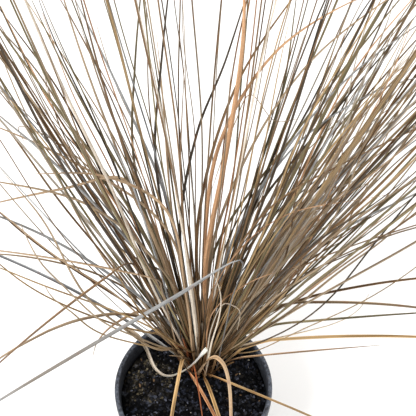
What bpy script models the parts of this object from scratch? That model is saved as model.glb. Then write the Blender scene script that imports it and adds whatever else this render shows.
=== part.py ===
"""Potted bronze sedge: a round nursery pot, its potting mix, the crown, its tillers and loose leaves.

Run with: blender --background --python part.py
Metres, +Z up. The origin is the centre of the pot's underside, on the surface that it stands on.
Front is -Y. The clump leans a little to the back, and its two heavy sheaves fall to the right and left.
"""

import math
import random
from dataclasses import dataclass

import bmesh
import bpy
import numpy as np
from mathutils import Matrix, Vector

# Pot: a one-litre round nursery pot.
POT_HEIGHT = 0.112
RIM_RADIUS = 0.065
BASE_RADIUS = 0.046
WALL = 0.0014
RIM_DEPTH = 0.011
RIM_STEP = 0.0022
ROUND_OFF = 0.0007
FLOOR = 0.0018
POT_SIDES = 48
DRAIN_HOLES = 6
DRAIN_RADIUS = 0.004
DRAIN_CIRCLE = 0.031

# Potting mix and crown. The crown stands behind the middle of the pot.
FIT_GAP = 0.0003
MIX_TOP = 0.098
CROWN_CENTRE = Vector((0.007, 0.034, 0))
CROWN_RADIUS = 0.0225
CROWN_SKIRT = 0.0030
CROWN_HEIGHT = 0.005
ROOT_HEIGHT = MIX_TOP + FIT_GAP + CROWN_HEIGHT + FIT_GAP

# Tillers: shoots of the clump, each a sheath that opens into five leaves.
TILLERS = 28
TILLER_RADIUS = 0.0155
LEAVES = 5
SHEATH_RADIUS = 0.0019
SHEATH_HEIGHT = 0.013
LEAF_MARKS = (0.1, 0.3, 0.52, 0.76, 1.0)
LEAF_INSET = 0.22
LEAF_CLEARANCE = 0.0003
LEAF_DEPTH = 0.4
LEAF_LENGTHS = (0.27, 0.52)
LEAF_WIDTHS = (0.0020, 0.0030)
LOOSE_REACH = 0.0205
LOOSE_LIFT = 0.0012
GOLDEN_TURN = math.pi * (3 - math.sqrt(5))
LINE_STEPS = 60
PLAN_SEED = 11
TRIES = 40
AXIS_TRIES = 5


# --- the plan of the clump ------------------------------------------------------------------------


@dataclass
class Leaf:
    """A leaf's centre line from foot to tip, its width, the way its upper side faces, and its marks.

    The marks are the shares of the length at which its solid has a corner.
    """

    line: list
    width: float
    upper: Vector
    marks: tuple


@dataclass
class Tiller:
    """A sheath's foot and direction, two directions across it, and its leaves, None where one is missing."""

    foot: Vector
    axis: Vector
    across: Vector
    over: Vector
    leaves: list


@dataclass
class LooseLeaf:
    """A single leaf: the azimuth of the crown's edge that it stands on, its length and width, and its bends.

    Each bend is a share of the length, an azimuth and a lean from upright, with an even turn between bends.
    A leaf that lies loose starts from a place of its own instead of from the crown's edge.
    """

    name: str
    stand: float
    length: float
    width: float
    bends: tuple
    place: tuple = ()


LOOSE_LEAVES = (
    LooseLeaf(
        "leaf_front_tan", 221, 0.19, 0.0034,
        ((0, 270, 8), (0.1, 265, 14), (0.18, 262, 78), (1, 265, 116)),
    ),
    LooseLeaf(
        "leaf_front_orange", 233, 0.14, 0.0030,
        ((0, 296, 58), (0.2, 295, 80), (1, 295, 104)),
    ),
    LooseLeaf(
        "leaf_front_rust", 246, 0.085, 0.0016,
        ((0, 285, 4), (0.22, 285, 12), (0.38, 280, 80), (1, 277, 114)),
    ),
    LooseLeaf(
        "leaf_front_straight", 271, 0.17, 0.0032,
        ((0, 285, 45), (0.2, 285, 72), (1, 284, 114)),
    ),
    LooseLeaf(
        "leaf_front_olive", 283, 0.22, 0.0022,
        ((0, 326, 70), (0.35, 331, 82), (1, 334, 100)),
    ),
    LooseLeaf(
        "leaf_front_arch", 260, 0.2, 0.0034,
        ((0, 336, 14), (0.17, 336, 20), (0.24, 316, 48), (0.3, 292, 92), (0.37, 280, 115),
         (0.5, 268, 117), (1, 268, 140)),
    ),
    LooseLeaf(
        "leaf_folded", 306, 0.52, 0.0042,
        ((0, 309, 7), (0.37, 309, 7), (0.385, 178, 137), (0.61, 182, 135), (1, 192, 128)),
    ),
    LooseLeaf(
        "leaf_shed", 0, 0.122, 0.0028,
        ((0, 180, 157), (0.24, 182, 152), (0.32, 190, 126), (0.42, 178, 130), (0.5, 148, 106),
         (0.58, 125, 93), (0.65, 112, 76), (0.71, 122, 34), (0.85, 150, 30), (0.95, 175, 55),
         (1, 150, 60)),
        (0.011, 0.0105, 0.153),
    ),
    LooseLeaf(
        "leaf_left_low", 189.5, 0.25, 0.0036,
        ((0, 160, 50), (0.5, 162, 68), (1, 163, 88)),
    ),
    LooseLeaf(
        "leaf_left_orange", 210.5, 0.34, 0.0028,
        ((0, 203, 6), (0.4, 203, 6), (0.42, 167, 86), (1, 169, 101)),
    ),
    LooseLeaf(
        "leaf_left_dark", 200.5, 0.38, 0.0030,
        ((0, 200, 11), (0.43, 200, 11), (0.45, 189, 133), (1, 192, 141)),
    ),
    LooseLeaf(
        "leaf_left_arch", 178.5, 0.25, 0.0032,
        ((0, 190, 10), (0.22, 190, 25), (0.38, 190, 80), (0.6, 191, 118), (1, 193, 138)),
    ),
    LooseLeaf(
        "leaf_left_short", 168, 0.15, 0.0032,
        ((0, 184, 12), (0.42, 184, 22), (0.5, 188, 110), (1, 200, 172)),
    ),
    LooseLeaf(
        "leaf_left_grey", 158, 0.24, 0.0030,
        ((0, 168, 20), (0.3, 168, 35), (0.5, 170, 72), (1, 172, 112)),
    ),
    LooseLeaf(
        "leaf_right_golden", 320, 0.235, 0.0030,
        ((0, 20, 35), (0.1, 18, 50), (0.22, 2, 84), (1, 3, 106)),
    ),
    LooseLeaf(
        "leaf_right_fine", 333, 0.14, 0.0018,
        ((0, 0, 45), (0.15, 0, 78), (1, 8, 96)),
    ),
    LooseLeaf(
        "leaf_right_bow", 345, 0.22, 0.0026,
        ((0, 20, 30), (0.15, 18, 50), (0.3, 0, 80), (1, 6, 94)),
    ),
    LooseLeaf(
        "leaf_right_hook", 357, 0.14, 0.0016,
        ((0, 15, 45), (0.2, 5, 78), (0.65, 14, 84), (0.8, 20, 60), (1, 40, 10)),
    ),
    LooseLeaf(
        "leaf_right_dip", 9, 0.25, 0.0026,
        ((0, 20, 25), (0.2, 15, 42), (0.34, 0, 86), (1, 2, 116)),
    ),
    LooseLeaf(
        "leaf_right_up", 22, 0.24, 0.0026,
        ((0, 25, 38), (0.15, 20, 62), (0.4, 10, 82), (1, 5, 96)),
    ),
)


def heading(azimuth, lean):
    """Unit vector that leans from +Z towards an azimuth, counted from +X through +Y."""
    return Vector((math.sin(lean) * math.cos(azimuth), math.sin(lean) * math.sin(azimuth), math.cos(lean)))


def arching_line(foot, direction, droop, swirl, length):
    """Points of a leaf that sets out in a direction, leans over by droop, and turns by swirl."""
    lean = math.acos(max(-1.0, min(1.0, direction.z)))
    azimuth = math.atan2(direction.y, direction.x)
    line = [Vector(foot)]
    for k in range(LINE_STEPS):
        t = (k + 0.5) / LINE_STEPS
        step = heading(azimuth + swirl * t, lean + droop * t**1.5)
        line.append(line[-1] + step * (length / LINE_STEPS))
    return line


def bent_line(foot, bends, length):
    """Points of a leaf that follows its bends."""
    shares, azimuths, leans = zip(*bends)
    line = [Vector(foot)]
    for k in range(LINE_STEPS * 2):
        t = (k + 0.5) / (LINE_STEPS * 2)
        azimuth = math.radians(np.interp(t, shares, azimuths))
        lean = math.radians(np.interp(t, shares, leans))
        line.append(line[-1] + heading(azimuth, lean) * (length / (LINE_STEPS * 2)))
    return line


def at_mark(line, mark):
    """The point of a line at a share of its length."""
    place = mark * (len(line) - 1)
    k = min(int(place), len(line) - 2)
    return line[k].lerp(line[k + 1], place - k)


def leaf_width(width, mark):
    """Width of a leaf: full along its lower half, drawn out to a fine tip."""
    return width * max(0.0, 1 - mark**2.6) ** 0.8


def stretches(leaf):
    """The straight stretches of a leaf's solid, each as its start, its end and its half width."""
    marks = (0, *leaf.marks)
    points = [at_mark(leaf.line, mark) for mark in marks]
    return [
        (*start, *end, leaf_width(leaf.width, mark) / 2)
        for start, end, mark in zip(points, points[1:], marks)
    ]


def nearest(a, b):
    """Distance between each stretch in a and each in b, as a table."""
    p, u = a[:, None, :3], (a[:, 3:6] - a[:, :3])[:, None]
    q, v = b[None, :, :3], (b[:, 3:6] - b[:, :3])[None]
    w = p - q
    uu, uv, vv = (u * u).sum(-1), (u * v).sum(-1), (v * v).sum(-1)
    uw, vw = (u * w).sum(-1), (v * w).sum(-1)
    slant = np.maximum(uu * vv - uv * uv, 1e-14)
    s = np.clip((uv * vw - vv * uw) / slant, 0, 1)
    t = np.clip((uv * s + vw) / vv, 0, 1)
    s = np.clip((uv * t - uw) / uu, 0, 1)
    return np.linalg.norm(w + s[..., None] * u - t[..., None] * v, axis=-1)


def clear_of(rows, others):
    """Whether stretches keep their clearance to all of the others."""
    if not rows or not others:
        return True
    a, b = np.array(rows), np.array(others)
    return bool((nearest(a, b) > a[:, None, 6] + b[None, :, 6] + LEAF_CLEARANCE).all())


def tiller_heading(right, back, chance):
    """Direction of a tiller by where it stands: the sides fall away, and the back leans back."""
    side = math.copysign(abs(right) ** 0.7, right)
    x = 0.04 + (0.61 if side > 0 else 0.56) * side + chance.uniform(-0.09, 0.09)
    y = 0.20 + 0.20 * back + chance.uniform(-0.09, 0.09)
    return Vector((x, y, math.sqrt(1 - x * x - y * y)))


def plan_leaf(start, axis, outward, chance):
    """One leaf of a tiller, which parts from the tiller's axis."""
    part = math.tan(math.radians(chance.uniform(2.4, 8)))
    direction = (axis + outward * part).normalized()
    droop = math.radians(chance.uniform(-8, 16)) + math.acos(direction.z) * chance.uniform(0, 0.6)
    swirl = math.radians(chance.uniform(-18, 18))
    line = arching_line(start, direction, droop, swirl, chance.uniform(*LEAF_LENGTHS))
    return Leaf(line, chance.uniform(*LEAF_WIDTHS), -outward, LEAF_MARKS)


def sheath_of(tiller):
    """The stretch that a tiller's sheath takes up."""
    return (*tiller.foot, *(tiller.foot + tiller.axis * SHEATH_HEIGHT), SHEATH_RADIUS)


def plan_sheath(right, back, chance, taken):
    """A tiller, still without leaves, that stands at a share of the radius to the right and back."""
    foot = CROWN_CENTRE + Vector((TILLER_RADIUS * right, TILLER_RADIUS * back, ROOT_HEIGHT))
    for _ in range(TRIES):
        axis = tiller_heading(right, back, chance)
        across = axis.cross(Vector((0, 0, 1))).normalized()
        tiller = Tiller(foot, axis, across, axis.cross(across), [])
        if clear_of([sheath_of(tiller)], taken):
            break
    return tiller


def plan_leaves(tiller, chance, taken):
    """Gives a tiller its leaves, clear of the stretches taken, and counts them."""
    top = tiller.foot + tiller.axis * SHEATH_HEIGHT
    for k in range(LEAVES):
        turn = 2 * math.pi * (k + 0.5) / LEAVES
        outward = tiller.across * math.cos(turn) + tiller.over * math.sin(turn)
        own = [row for leaf in tiller.leaves if leaf for row in stretches(leaf)[1:]]
        tiller.leaves.append(None)
        for _ in range(TRIES):
            leaf = plan_leaf(top + outward * SHEATH_RADIUS * 0.55, tiller.axis, outward, chance)
            rows = stretches(leaf)
            if clear_of(rows, taken) and clear_of(rows[1:], own):
                tiller.leaves[-1] = leaf
                break
    return sum(leaf is not None for leaf in tiller.leaves)


def plan_loose(spec, taken):
    """A single leaf, on the crown's edge or at its own place."""
    stand = math.radians(spec.stand)
    edge = Vector((LOOSE_REACH * math.cos(stand), LOOSE_REACH * math.sin(stand), ROOT_HEIGHT + LOOSE_LIFT))
    foot = Vector(spec.place) if spec.place else CROWN_CENTRE + edge
    line = bent_line(foot, spec.bends, spec.length)
    azimuth, lean = (math.radians(angle) for angle in spec.bends[0][1:])
    shares = sorted({k / 8 for k in range(1, 9)} | {bend[0] for bend in spec.bends[1:]})
    marks = [mark for mark, before in zip(shares, [0, *shares]) if mark == 1 or mark - before > 0.012]
    leaf = Leaf(line, spec.width, heading(azimuth, lean - math.pi / 2), tuple(marks))
    taken += stretches(leaf)
    return leaf


def plan_clump():
    """All tillers, and the single leaves, clear of each other."""
    chance = random.Random(PLAN_SEED)
    taken = []
    loose = [plan_loose(spec, taken) for spec in LOOSE_LEAVES]
    places, sheaths = [], []
    for k in range(TILLERS):
        share = math.sqrt((k + 0.5) / TILLERS)
        places.append((share * math.cos(k * GOLDEN_TURN), share * math.sin(k * GOLDEN_TURN)))
        sheaths.append(sheath_of(plan_sheath(*places[-1], chance, taken + sheaths)))
    tillers = [None] * TILLERS
    for k in reversed(range(TILLERS)):
        others = taken + sheaths[:k] + sheaths[k + 1 :]
        tried = [plan_sheath(*places[k], chance, others) for _ in range(AXIS_TRIES)]
        counts = [plan_leaves(tiller, chance, others) for tiller in tried]
        tillers[k] = tried[counts.index(max(counts))]
        sheaths[k] = sheath_of(tillers[k])
        taken += [row for leaf in tillers[k].leaves if leaf for row in stretches(leaf)]
    return tillers, loose


# --- solids ---------------------------------------------------------------------------------------


def clear_scene():
    """Removes every object of the scene that the script starts in."""
    for old in list(bpy.data.objects):
        bpy.data.objects.remove(old)


def material(name, colour, roughness):
    """A Principled material of one colour."""
    made = bpy.data.materials.new(name)
    made.use_nodes = True
    shader = made.node_tree.nodes["Principled BSDF"]
    shader.inputs["Base Color"].default_value = (*colour, 1)
    shader.inputs["Roughness"].default_value = roughness
    shader.inputs["Metallic"].default_value = 0
    return made


def add_object(name, fill, finish):
    """A new object whose mesh the fill function makes, facing out."""
    mesh = bpy.data.meshes.new(name)
    work = bmesh.new()
    fill(work)
    bmesh.ops.recalc_face_normals(work, faces=work.faces)
    work.to_mesh(mesh)
    work.free()
    mesh.materials.append(finish)
    made = bpy.data.objects.new(name, mesh)
    bpy.context.scene.collection.objects.link(made)
    return made


def turn_profile(work, profile, sides, centre=(0, 0)):
    """Turns a profile of (radius, height) points, which starts and ends on the axis, into a closed body."""
    turns = [2 * math.pi * k / sides for k in range(sides)]
    rings = []
    for radius, height in profile:
        spots = [(radius * math.cos(a), radius * math.sin(a)) for a in (turns if radius else [0])]
        rings.append([work.verts.new((centre[0] + x, centre[1] + y, height)) for x, y in spots])
    for low, high in zip(rings, rings[1:]):
        for k in range(sides):
            after = k + 1
            under = (low[k % len(low)], low[after % len(low)])
            corners = [*under, high[after % len(high)], high[k % len(high)]]
            work.faces.new(list(dict.fromkeys(corners)))


def wall_radius(height):
    """Outer radius of the tapered wall at a height."""
    top = RIM_RADIUS - RIM_STEP
    return BASE_RADIUS + (top - BASE_RADIUS) * height / (POT_HEIGHT - RIM_DEPTH)


def fill_pot(work):
    """Underside, outer wall, rolled rim, inner wall and inner floor."""
    shoulder = POT_HEIGHT - RIM_DEPTH
    inner_top = wall_radius(shoulder) - WALL
    profile = [
        (0, 0),
        (DRAIN_CIRCLE - 2 * DRAIN_RADIUS, 0),
        (BASE_RADIUS - 0.0015, 0),
        (BASE_RADIUS, 0.0015),
        (wall_radius(shoulder), shoulder),
        (RIM_RADIUS - ROUND_OFF / 2, shoulder + ROUND_OFF),
        (RIM_RADIUS, POT_HEIGHT - 2 * ROUND_OFF),
        (RIM_RADIUS - ROUND_OFF, POT_HEIGHT),
        (inner_top + ROUND_OFF, POT_HEIGHT),
        (inner_top, POT_HEIGHT - 2 * ROUND_OFF),
        (inner_top, shoulder),
        (wall_radius(FLOOR) - WALL, FLOOR),
        (DRAIN_CIRCLE - 2 * DRAIN_RADIUS, FLOOR),
        (0, FLOOR),
    ]
    turn_profile(work, profile, POT_SIDES)


def fill_drain_cutter(work):
    """Round cutters through the floor, longer than it is thick."""
    for k in range(DRAIN_HOLES):
        angle = 2 * math.pi * (k + 0.5) / DRAIN_HOLES
        place = Vector((DRAIN_CIRCLE * math.cos(angle), DRAIN_CIRCLE * math.sin(angle), FLOOR / 2))
        bmesh.ops.create_cone(
            work,
            cap_ends=True,
            segments=12,
            radius1=DRAIN_RADIUS,
            radius2=DRAIN_RADIUS,
            depth=4 * FLOOR,
            matrix=Matrix.Translation(place),
        )


def make_pot(finish):
    """The pot, with its drain holes cut through the floor."""
    pot = add_object("pot", fill_pot, finish)
    cutter = add_object("drain_cutter", fill_drain_cutter, finish)
    cutter.hide_render = True
    cutter.display_type = "WIRE"
    cut = pot.modifiers.new("drain", "BOOLEAN")
    cut.operation = "DIFFERENCE"
    cut.object = cutter


def fill_mix(work):
    """The potting mix fills the pot to under the rim, clear of the wall and of the floor."""
    shoulder = POT_HEIGHT - RIM_DEPTH
    low = FLOOR + FIT_GAP
    inner_low, inner_high = wall_radius(FLOOR) - WALL, wall_radius(shoulder) - WALL
    slope = (inner_high - inner_low) / (shoulder - FLOOR)
    edges = [inner_low + slope * (height - FLOOR) - 2 * FIT_GAP for height in (low, MIX_TOP)]
    turn_profile(work, [(0, low), (edges[0], low), (edges[1], MIX_TOP), (0, MIX_TOP)], POT_SIDES)


def fill_crown(work):
    """The crown is a low mound with a flat top, which the tillers stand on."""
    low = MIX_TOP + FIT_GAP
    top = low + CROWN_HEIGHT
    profile = [(0, low), (CROWN_RADIUS + CROWN_SKIRT, low), (CROWN_RADIUS, top), (0, top)]
    turn_profile(work, profile, 32, CROWN_CENTRE)


def leaf_rings(leaf):
    """The three-cornered cross-sections of a leaf at its marks, and its tip."""
    marks = (0, *leaf.marks)
    points = [at_mark(leaf.line, mark) for mark in marks]
    rings = []
    upper, before = leaf.upper, None
    for k in range(len(marks) - 1):
        ahead = (points[k + 1] - points[k]).normalized()
        along = (ahead + before).normalized() if before else ahead
        before = ahead
        upper = (upper - along * upper.dot(along)).normalized()
        side = upper.cross(along)
        width = leaf_width(leaf.width, marks[k])
        low = points[k] - upper * width * LEAF_DEPTH / 3
        high = points[k] + upper * width * LEAF_DEPTH * 2 / 3
        rings.append((high, low - side * width / 2, low + side * width / 2))
    return rings, points[-1]


def join_tower(work, base, rings, tip):
    """Skins a leaf from its base corners through its cross-sections to its tip."""
    low = base
    for ring in rings:
        high = [work.verts.new(point) for point in ring]
        for k in range(3):
            work.faces.new((low[k], low[(k + 1) % 3], high[(k + 1) % 3], high[k]))
        low = high
    point = work.verts.new(tip)
    for k in range(3):
        work.faces.new((low[k], low[(k + 1) % 3], point))


def fill_tiller(work, tiller):
    """A five-sided sheath, and a leaf on each fifth of its top."""
    turns = [2 * math.pi * k / LEAVES for k in range(LEAVES)]
    flat = Vector((tiller.over.x, tiller.over.y, 0)).normalized()
    top_centre = tiller.foot + tiller.axis * SHEATH_HEIGHT
    low, high = [], []
    for turn in turns:
        across = tiller.across * math.cos(turn) * SHEATH_RADIUS
        low.append(work.verts.new(tiller.foot + across + flat * math.sin(turn) * SHEATH_RADIUS))
        high.append(work.verts.new(top_centre + across + tiller.over * math.sin(turn) * SHEATH_RADIUS))
    middle = work.verts.new(top_centre)
    work.faces.new(low)
    for k, leaf in enumerate(tiller.leaves):
        after = (k + 1) % LEAVES
        work.faces.new((low[k], low[after], high[after], high[k]))
        outline = [middle, high[k], high[after]]
        if leaf is None:
            work.faces.new(outline)
            continue
        centroid = sum((corner.co for corner in outline), Vector()) / 3
        inset = [work.verts.new(corner.co.lerp(centroid, LEAF_INSET)) for corner in outline]
        for i in range(3):
            j = (i + 1) % 3
            work.faces.new((outline[i], outline[j], inset[j], inset[i]))
        rings, tip = leaf_rings(leaf)
        join_tower(work, inset, rings[1:], tip)


def fill_loose(work, leaf):
    """A single leaf with a flat foot."""
    rings, tip = leaf_rings(leaf)
    base = [work.verts.new(point) for point in rings[0]]
    work.faces.new(base)
    join_tower(work, base, rings[1:], tip)


def main():
    """Builds the pot, the mix, the crown, the tillers and the loose leaves."""
    clear_scene()
    black_plastic = material("black_plastic", (0.012, 0.013, 0.015), 0.5)
    peaty_mix = material("peaty_mix", (0.016, 0.012, 0.009), 0.95)
    brown_crown = material("brown_crown", (0.09, 0.055, 0.03), 0.85)
    bronze_leaf = material("bronze_leaf", (0.21, 0.15, 0.09), 0.55)
    tan_leaf = material("tan_leaf", (0.34, 0.22, 0.12), 0.55)
    make_pot(black_plastic)
    add_object("potting_mix", fill_mix, peaty_mix)
    add_object("crown", fill_crown, brown_crown)
    tillers, loose = plan_clump()
    for k, tiller in enumerate(tillers):
        add_object(f"tiller_{k + 1:02d}", lambda work, it=tiller: fill_tiller(work, it), bronze_leaf)
    for spec, leaf in zip(LOOSE_LEAVES, loose):
        add_object(spec.name, lambda work, it=leaf: fill_loose(work, it), tan_leaf)


main()
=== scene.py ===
"""Studio model of a potted bronze sedge: every leaf, the fibrous crown, the loose potting mix and the pot.

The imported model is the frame. Each leaf here follows the line of a leaf solid in the frame, and replaces it.
Metres, +Z up, -Y towards the front of the clump.
"""

import logging
import math
import random
from dataclasses import dataclass, field
from enum import Enum
from typing import Any, Iterable, Mapping, NamedTuple, Sequence

import bmesh
import bpy
from mathutils import Matrix, Vector, noise


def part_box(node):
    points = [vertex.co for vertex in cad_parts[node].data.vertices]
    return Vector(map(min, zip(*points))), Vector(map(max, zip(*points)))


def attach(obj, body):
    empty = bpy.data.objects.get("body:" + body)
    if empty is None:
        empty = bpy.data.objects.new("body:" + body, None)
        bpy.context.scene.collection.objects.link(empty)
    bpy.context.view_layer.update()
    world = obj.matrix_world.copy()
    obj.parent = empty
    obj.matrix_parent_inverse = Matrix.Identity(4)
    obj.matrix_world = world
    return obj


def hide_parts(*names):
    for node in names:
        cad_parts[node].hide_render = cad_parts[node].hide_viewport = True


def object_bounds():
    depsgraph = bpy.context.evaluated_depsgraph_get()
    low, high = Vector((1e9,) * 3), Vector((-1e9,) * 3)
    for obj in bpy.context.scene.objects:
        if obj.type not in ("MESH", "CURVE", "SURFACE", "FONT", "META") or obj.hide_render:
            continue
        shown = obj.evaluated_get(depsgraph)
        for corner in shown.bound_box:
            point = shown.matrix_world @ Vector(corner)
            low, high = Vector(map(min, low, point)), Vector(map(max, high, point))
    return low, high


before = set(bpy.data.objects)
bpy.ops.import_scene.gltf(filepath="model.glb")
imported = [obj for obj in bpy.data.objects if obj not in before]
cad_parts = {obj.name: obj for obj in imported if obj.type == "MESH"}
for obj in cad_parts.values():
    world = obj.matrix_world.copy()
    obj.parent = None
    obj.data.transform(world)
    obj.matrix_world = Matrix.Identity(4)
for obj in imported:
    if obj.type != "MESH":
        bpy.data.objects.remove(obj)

CAD_BOX = [list(corner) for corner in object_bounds()]
LOG = logging.getLogger("sedge")
MM = 0.001
SEED = 4
SAME_PLACE = 0.1 * MM  # cross-sections of a leaf solid closer than this are one
LEAST_TIP_REACH = 0.1  # a shoot's leaf tips are at least so far from its foot
POT_BASE_RADIUS = 46 * MM
WALL_AND_GAP = 2 * MM


# --- small tools ----------------------------------------------------------------------------------


def linear(code: str) -> tuple[float, float, float, float]:
    """Turns an sRGB hex colour into a linear one.

    Args:
        code: six hex digits after a hash sign.

    Returns:
        Red, green, blue and alpha, linear.
    """
    parts = [int(code[k : k + 2], 16) / 255 for k in (1, 3, 5)]
    red, green, blue = (c / 12.92 if c <= 0.04045 else ((c + 0.055) / 1.055) ** 2.4 for c in parts)
    return red, green, blue, 1.0


def blend(a: Sequence[float], b: Sequence[float], share: float) -> tuple[float, ...]:
    """A colour or a point between a and b, at a share from 0 to 1."""
    share = max(0.0, min(1.0, share))
    return tuple(p + (q - p) * share for p, q in zip(a, b))


def ramp(low: float, high: float, value: float) -> float:
    """A smooth step from 0 at low to 1 at high."""
    t = max(0.0, min(1.0, (value - low) / (high - low)))
    return t * t * (3 - 2 * t)


def add_node(
    tree: bpy.types.NodeTree,
    kind: str,
    inputs: Mapping[str | int, Any] | None = None,
    output: str | int = 0,
    **settings: Any,
) -> bpy.types.NodeSocket:
    """Adds a node, sets its properties, and fills or links its inputs.

    Args:
        tree: the tree that takes the node.
        kind: the node's type name.
        inputs: for an input's name or number, either a value or the output socket to link.
        output: the name or number of the output to give back.
        settings: values of the node's own properties.

    Returns:
        The output socket.
    """
    node = tree.nodes.new(kind)
    for name, value in settings.items():
        setattr(node, name, value)
    for key, value in (inputs or {}).items():
        socket = node.inputs[key]
        if isinstance(value, bpy.types.NodeSocket):
            tree.links.new(value, socket)
        else:
            socket.default_value = value
    return node.outputs[output]


def limits(from_low: float, from_high: float, to_low: float, to_high: float) -> dict[str, float]:
    """Inputs of a range node: what lies between the first two values comes out between the last two."""
    return {"From Min": from_low, "From Max": from_high, "To Min": to_low, "To Max": to_high}


def new_finish(name: str) -> tuple[bpy.types.Material, bpy.types.NodeTree, bpy.types.Node]:
    """Makes a material.

    Args:
        name: the material's name.

    Returns:
        The material, its node tree, and its Principled shader.
    """
    material = bpy.data.materials.new(name)
    material.use_nodes = True
    tree = material.node_tree
    return material, tree, tree.nodes["Principled BSDF"]


# --- mesh making ----------------------------------------------------------------------------------


@dataclass
class MeshMaker:
    """Gathers the points and faces of one piece, with a colour, a grain and a bake place for each point."""

    points: list[Vector] = field(default_factory=list)
    faces: list[tuple[int, ...]] = field(default_factory=list)
    colours: list[tuple[float, ...]] = field(default_factory=list)
    grains: list[tuple[float, float, float]] = field(default_factory=list)
    places: list[list[tuple[float, float]]] = field(default_factory=list)

    def add(self, point: Vector, colour: Sequence[float], grain: tuple[float, float, float]) -> int:
        """Adds a point.

        Args:
            point: its place.
            colour: red, green, blue and alpha, linear.
            grain: what its finish reads as a place, or as wear and painted sheen.

        Returns:
            The point's number.
        """
        self.points.append(Vector(point))
        self.colours.append(tuple(colour))
        self.grains.append(grain)
        return len(self.points) - 1

    def face(self, corners: Sequence[int], places: Sequence[tuple[float, float]]) -> None:
        """Adds a face with a bake place for each of its corners."""
        self.faces.append(tuple(corners))
        self.places.append(list(places))

    def disc(
        self,
        centre: int,
        loops: Sequence[Sequence[int]],
        middle: Vector,
        scale: float,
        at: tuple[float, float],
    ) -> None:
        """Closes a disc from its centre over its rings, with bake places as seen from above.

        Args:
            centre: the number of the point in the middle.
            loops: the rings from the inside out, each with the numbers of its points.
            middle: the spot that the bake places are measured from.
            scale: how many bake units a metre takes.
            at: the bake place of that spot.
        """

        def place(number: int) -> tuple[float, float]:
            """Bake place of a point."""
            offset = (self.points[number] - middle) * scale
            return at[0] + offset.x, at[1] + offset.y

        inner = loops[0]
        spokes = len(inner)
        for i in range(spokes):
            corners = (centre, inner[i], inner[(i + 1) % spokes])
            self.face(corners, [place(n) for n in corners])
        for low, high in zip(loops, loops[1:]):
            for i in range(spokes):
                j = (i + 1) % spokes
                corners = (low[i], high[i], high[j], low[j])
                self.face(corners, [place(n) for n in corners])

    def build(
        self, name: str, material: bpy.types.Material, sharp: float | None = 40
    ) -> bpy.types.Object:
        """Makes the object.

        Args:
            name: the piece's name.
            material: its finish.
            sharp: the angle in degrees above which an edge stays sharp, or None for smooth all over.

        Returns:
            The new object, in the scene.
        """
        mesh = bpy.data.meshes.new(name)
        mesh.from_pydata(self.points, [], self.faces)
        colour = mesh.color_attributes.new("piece_colour", "FLOAT_COLOR", "POINT")
        colour.data.foreach_set("color", [part for row in self.colours for part in row])
        grain = mesh.attributes.new("piece_grain", "FLOAT_VECTOR", "POINT")
        grain.data.foreach_set("vector", [part for row in self.grains for part in row])
        if self.places:
            uv = mesh.uv_layers.new(name="OFBake")
            uv.data.foreach_set("uv", [part for row in self.places for place in row for part in place])
        mesh.materials.append(material)
        mesh.shade_smooth()
        if sharp is not None:
            mesh.set_sharp_from_angle(angle=math.radians(sharp))
        made = bpy.data.objects.new(name, mesh)
        bpy.context.scene.collection.objects.link(made)
        return made


def place_piece(piece: bpy.types.Object, nodes: Iterable[str] = ()) -> None:
    """Puts a piece on the frame's body, and hides the frame nodes that it stands for.

    Args:
        piece: the piece.
        nodes: the frame nodes that it replaces.
    """
    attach(piece, "root")
    for node in nodes:
        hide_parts(node)


def report(piece: bpy.types.Object) -> None:
    """Logs a piece with its number of faces."""
    LOG.info("%s: %d faces", piece.name, len(piece.data.polygons))


# --- finishes -------------------------------------------------------------------------------------


@dataclass(frozen=True)
class Tone:
    """The colours of one leaf: upper side, underside, foot and tip, each sRGB hex."""

    upper: str
    under: str
    foot: str
    tip: str


class Shade(Enum):
    """The states that leaves of this sedge are found in, from fresh to long dead; the blue-grey one also
    paints a sheen, the dark one also paints shade.
    """

    TAUPE = Tone("#7d674d", "#a39076", "#704a30", "#a3886a")
    BROWN = Tone("#60472e", "#866948", "#5f3c24", "#8a6c4d")
    OLIVE = Tone("#5e553a", "#887c5b", "#6a5434", "#8c7852")
    STRAW = Tone("#98794e", "#b89c72", "#855f3a", "#b89a6c")
    TAN = Tone("#957656", "#b39a7c", "#855838", "#b5987a")
    # blue-grey leaves; the blue-grey also paints the sheen of the bright surround on the leaves
    GLAUCOUS_AND_SHEEN = Tone("#83868a", "#b0b2b2", "#77695a", "#8e7f6a")
    BLEACHED = Tone("#c4b198", "#ddd2c2", "#b0957a", "#d6c4ac")
    ORANGE = Tone("#b67c50", "#caa07a", "#ac6038", "#c8a07a")
    RUST = Tone("#8e4a2c", "#a66540", "#843f26", "#a8734c")
    # dark brown dead leaves; the darkness also paints shade in the clump
    DARK = Tone("#2f271b", "#4c4030", "#3e2a1a", "#5a4a34")


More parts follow.
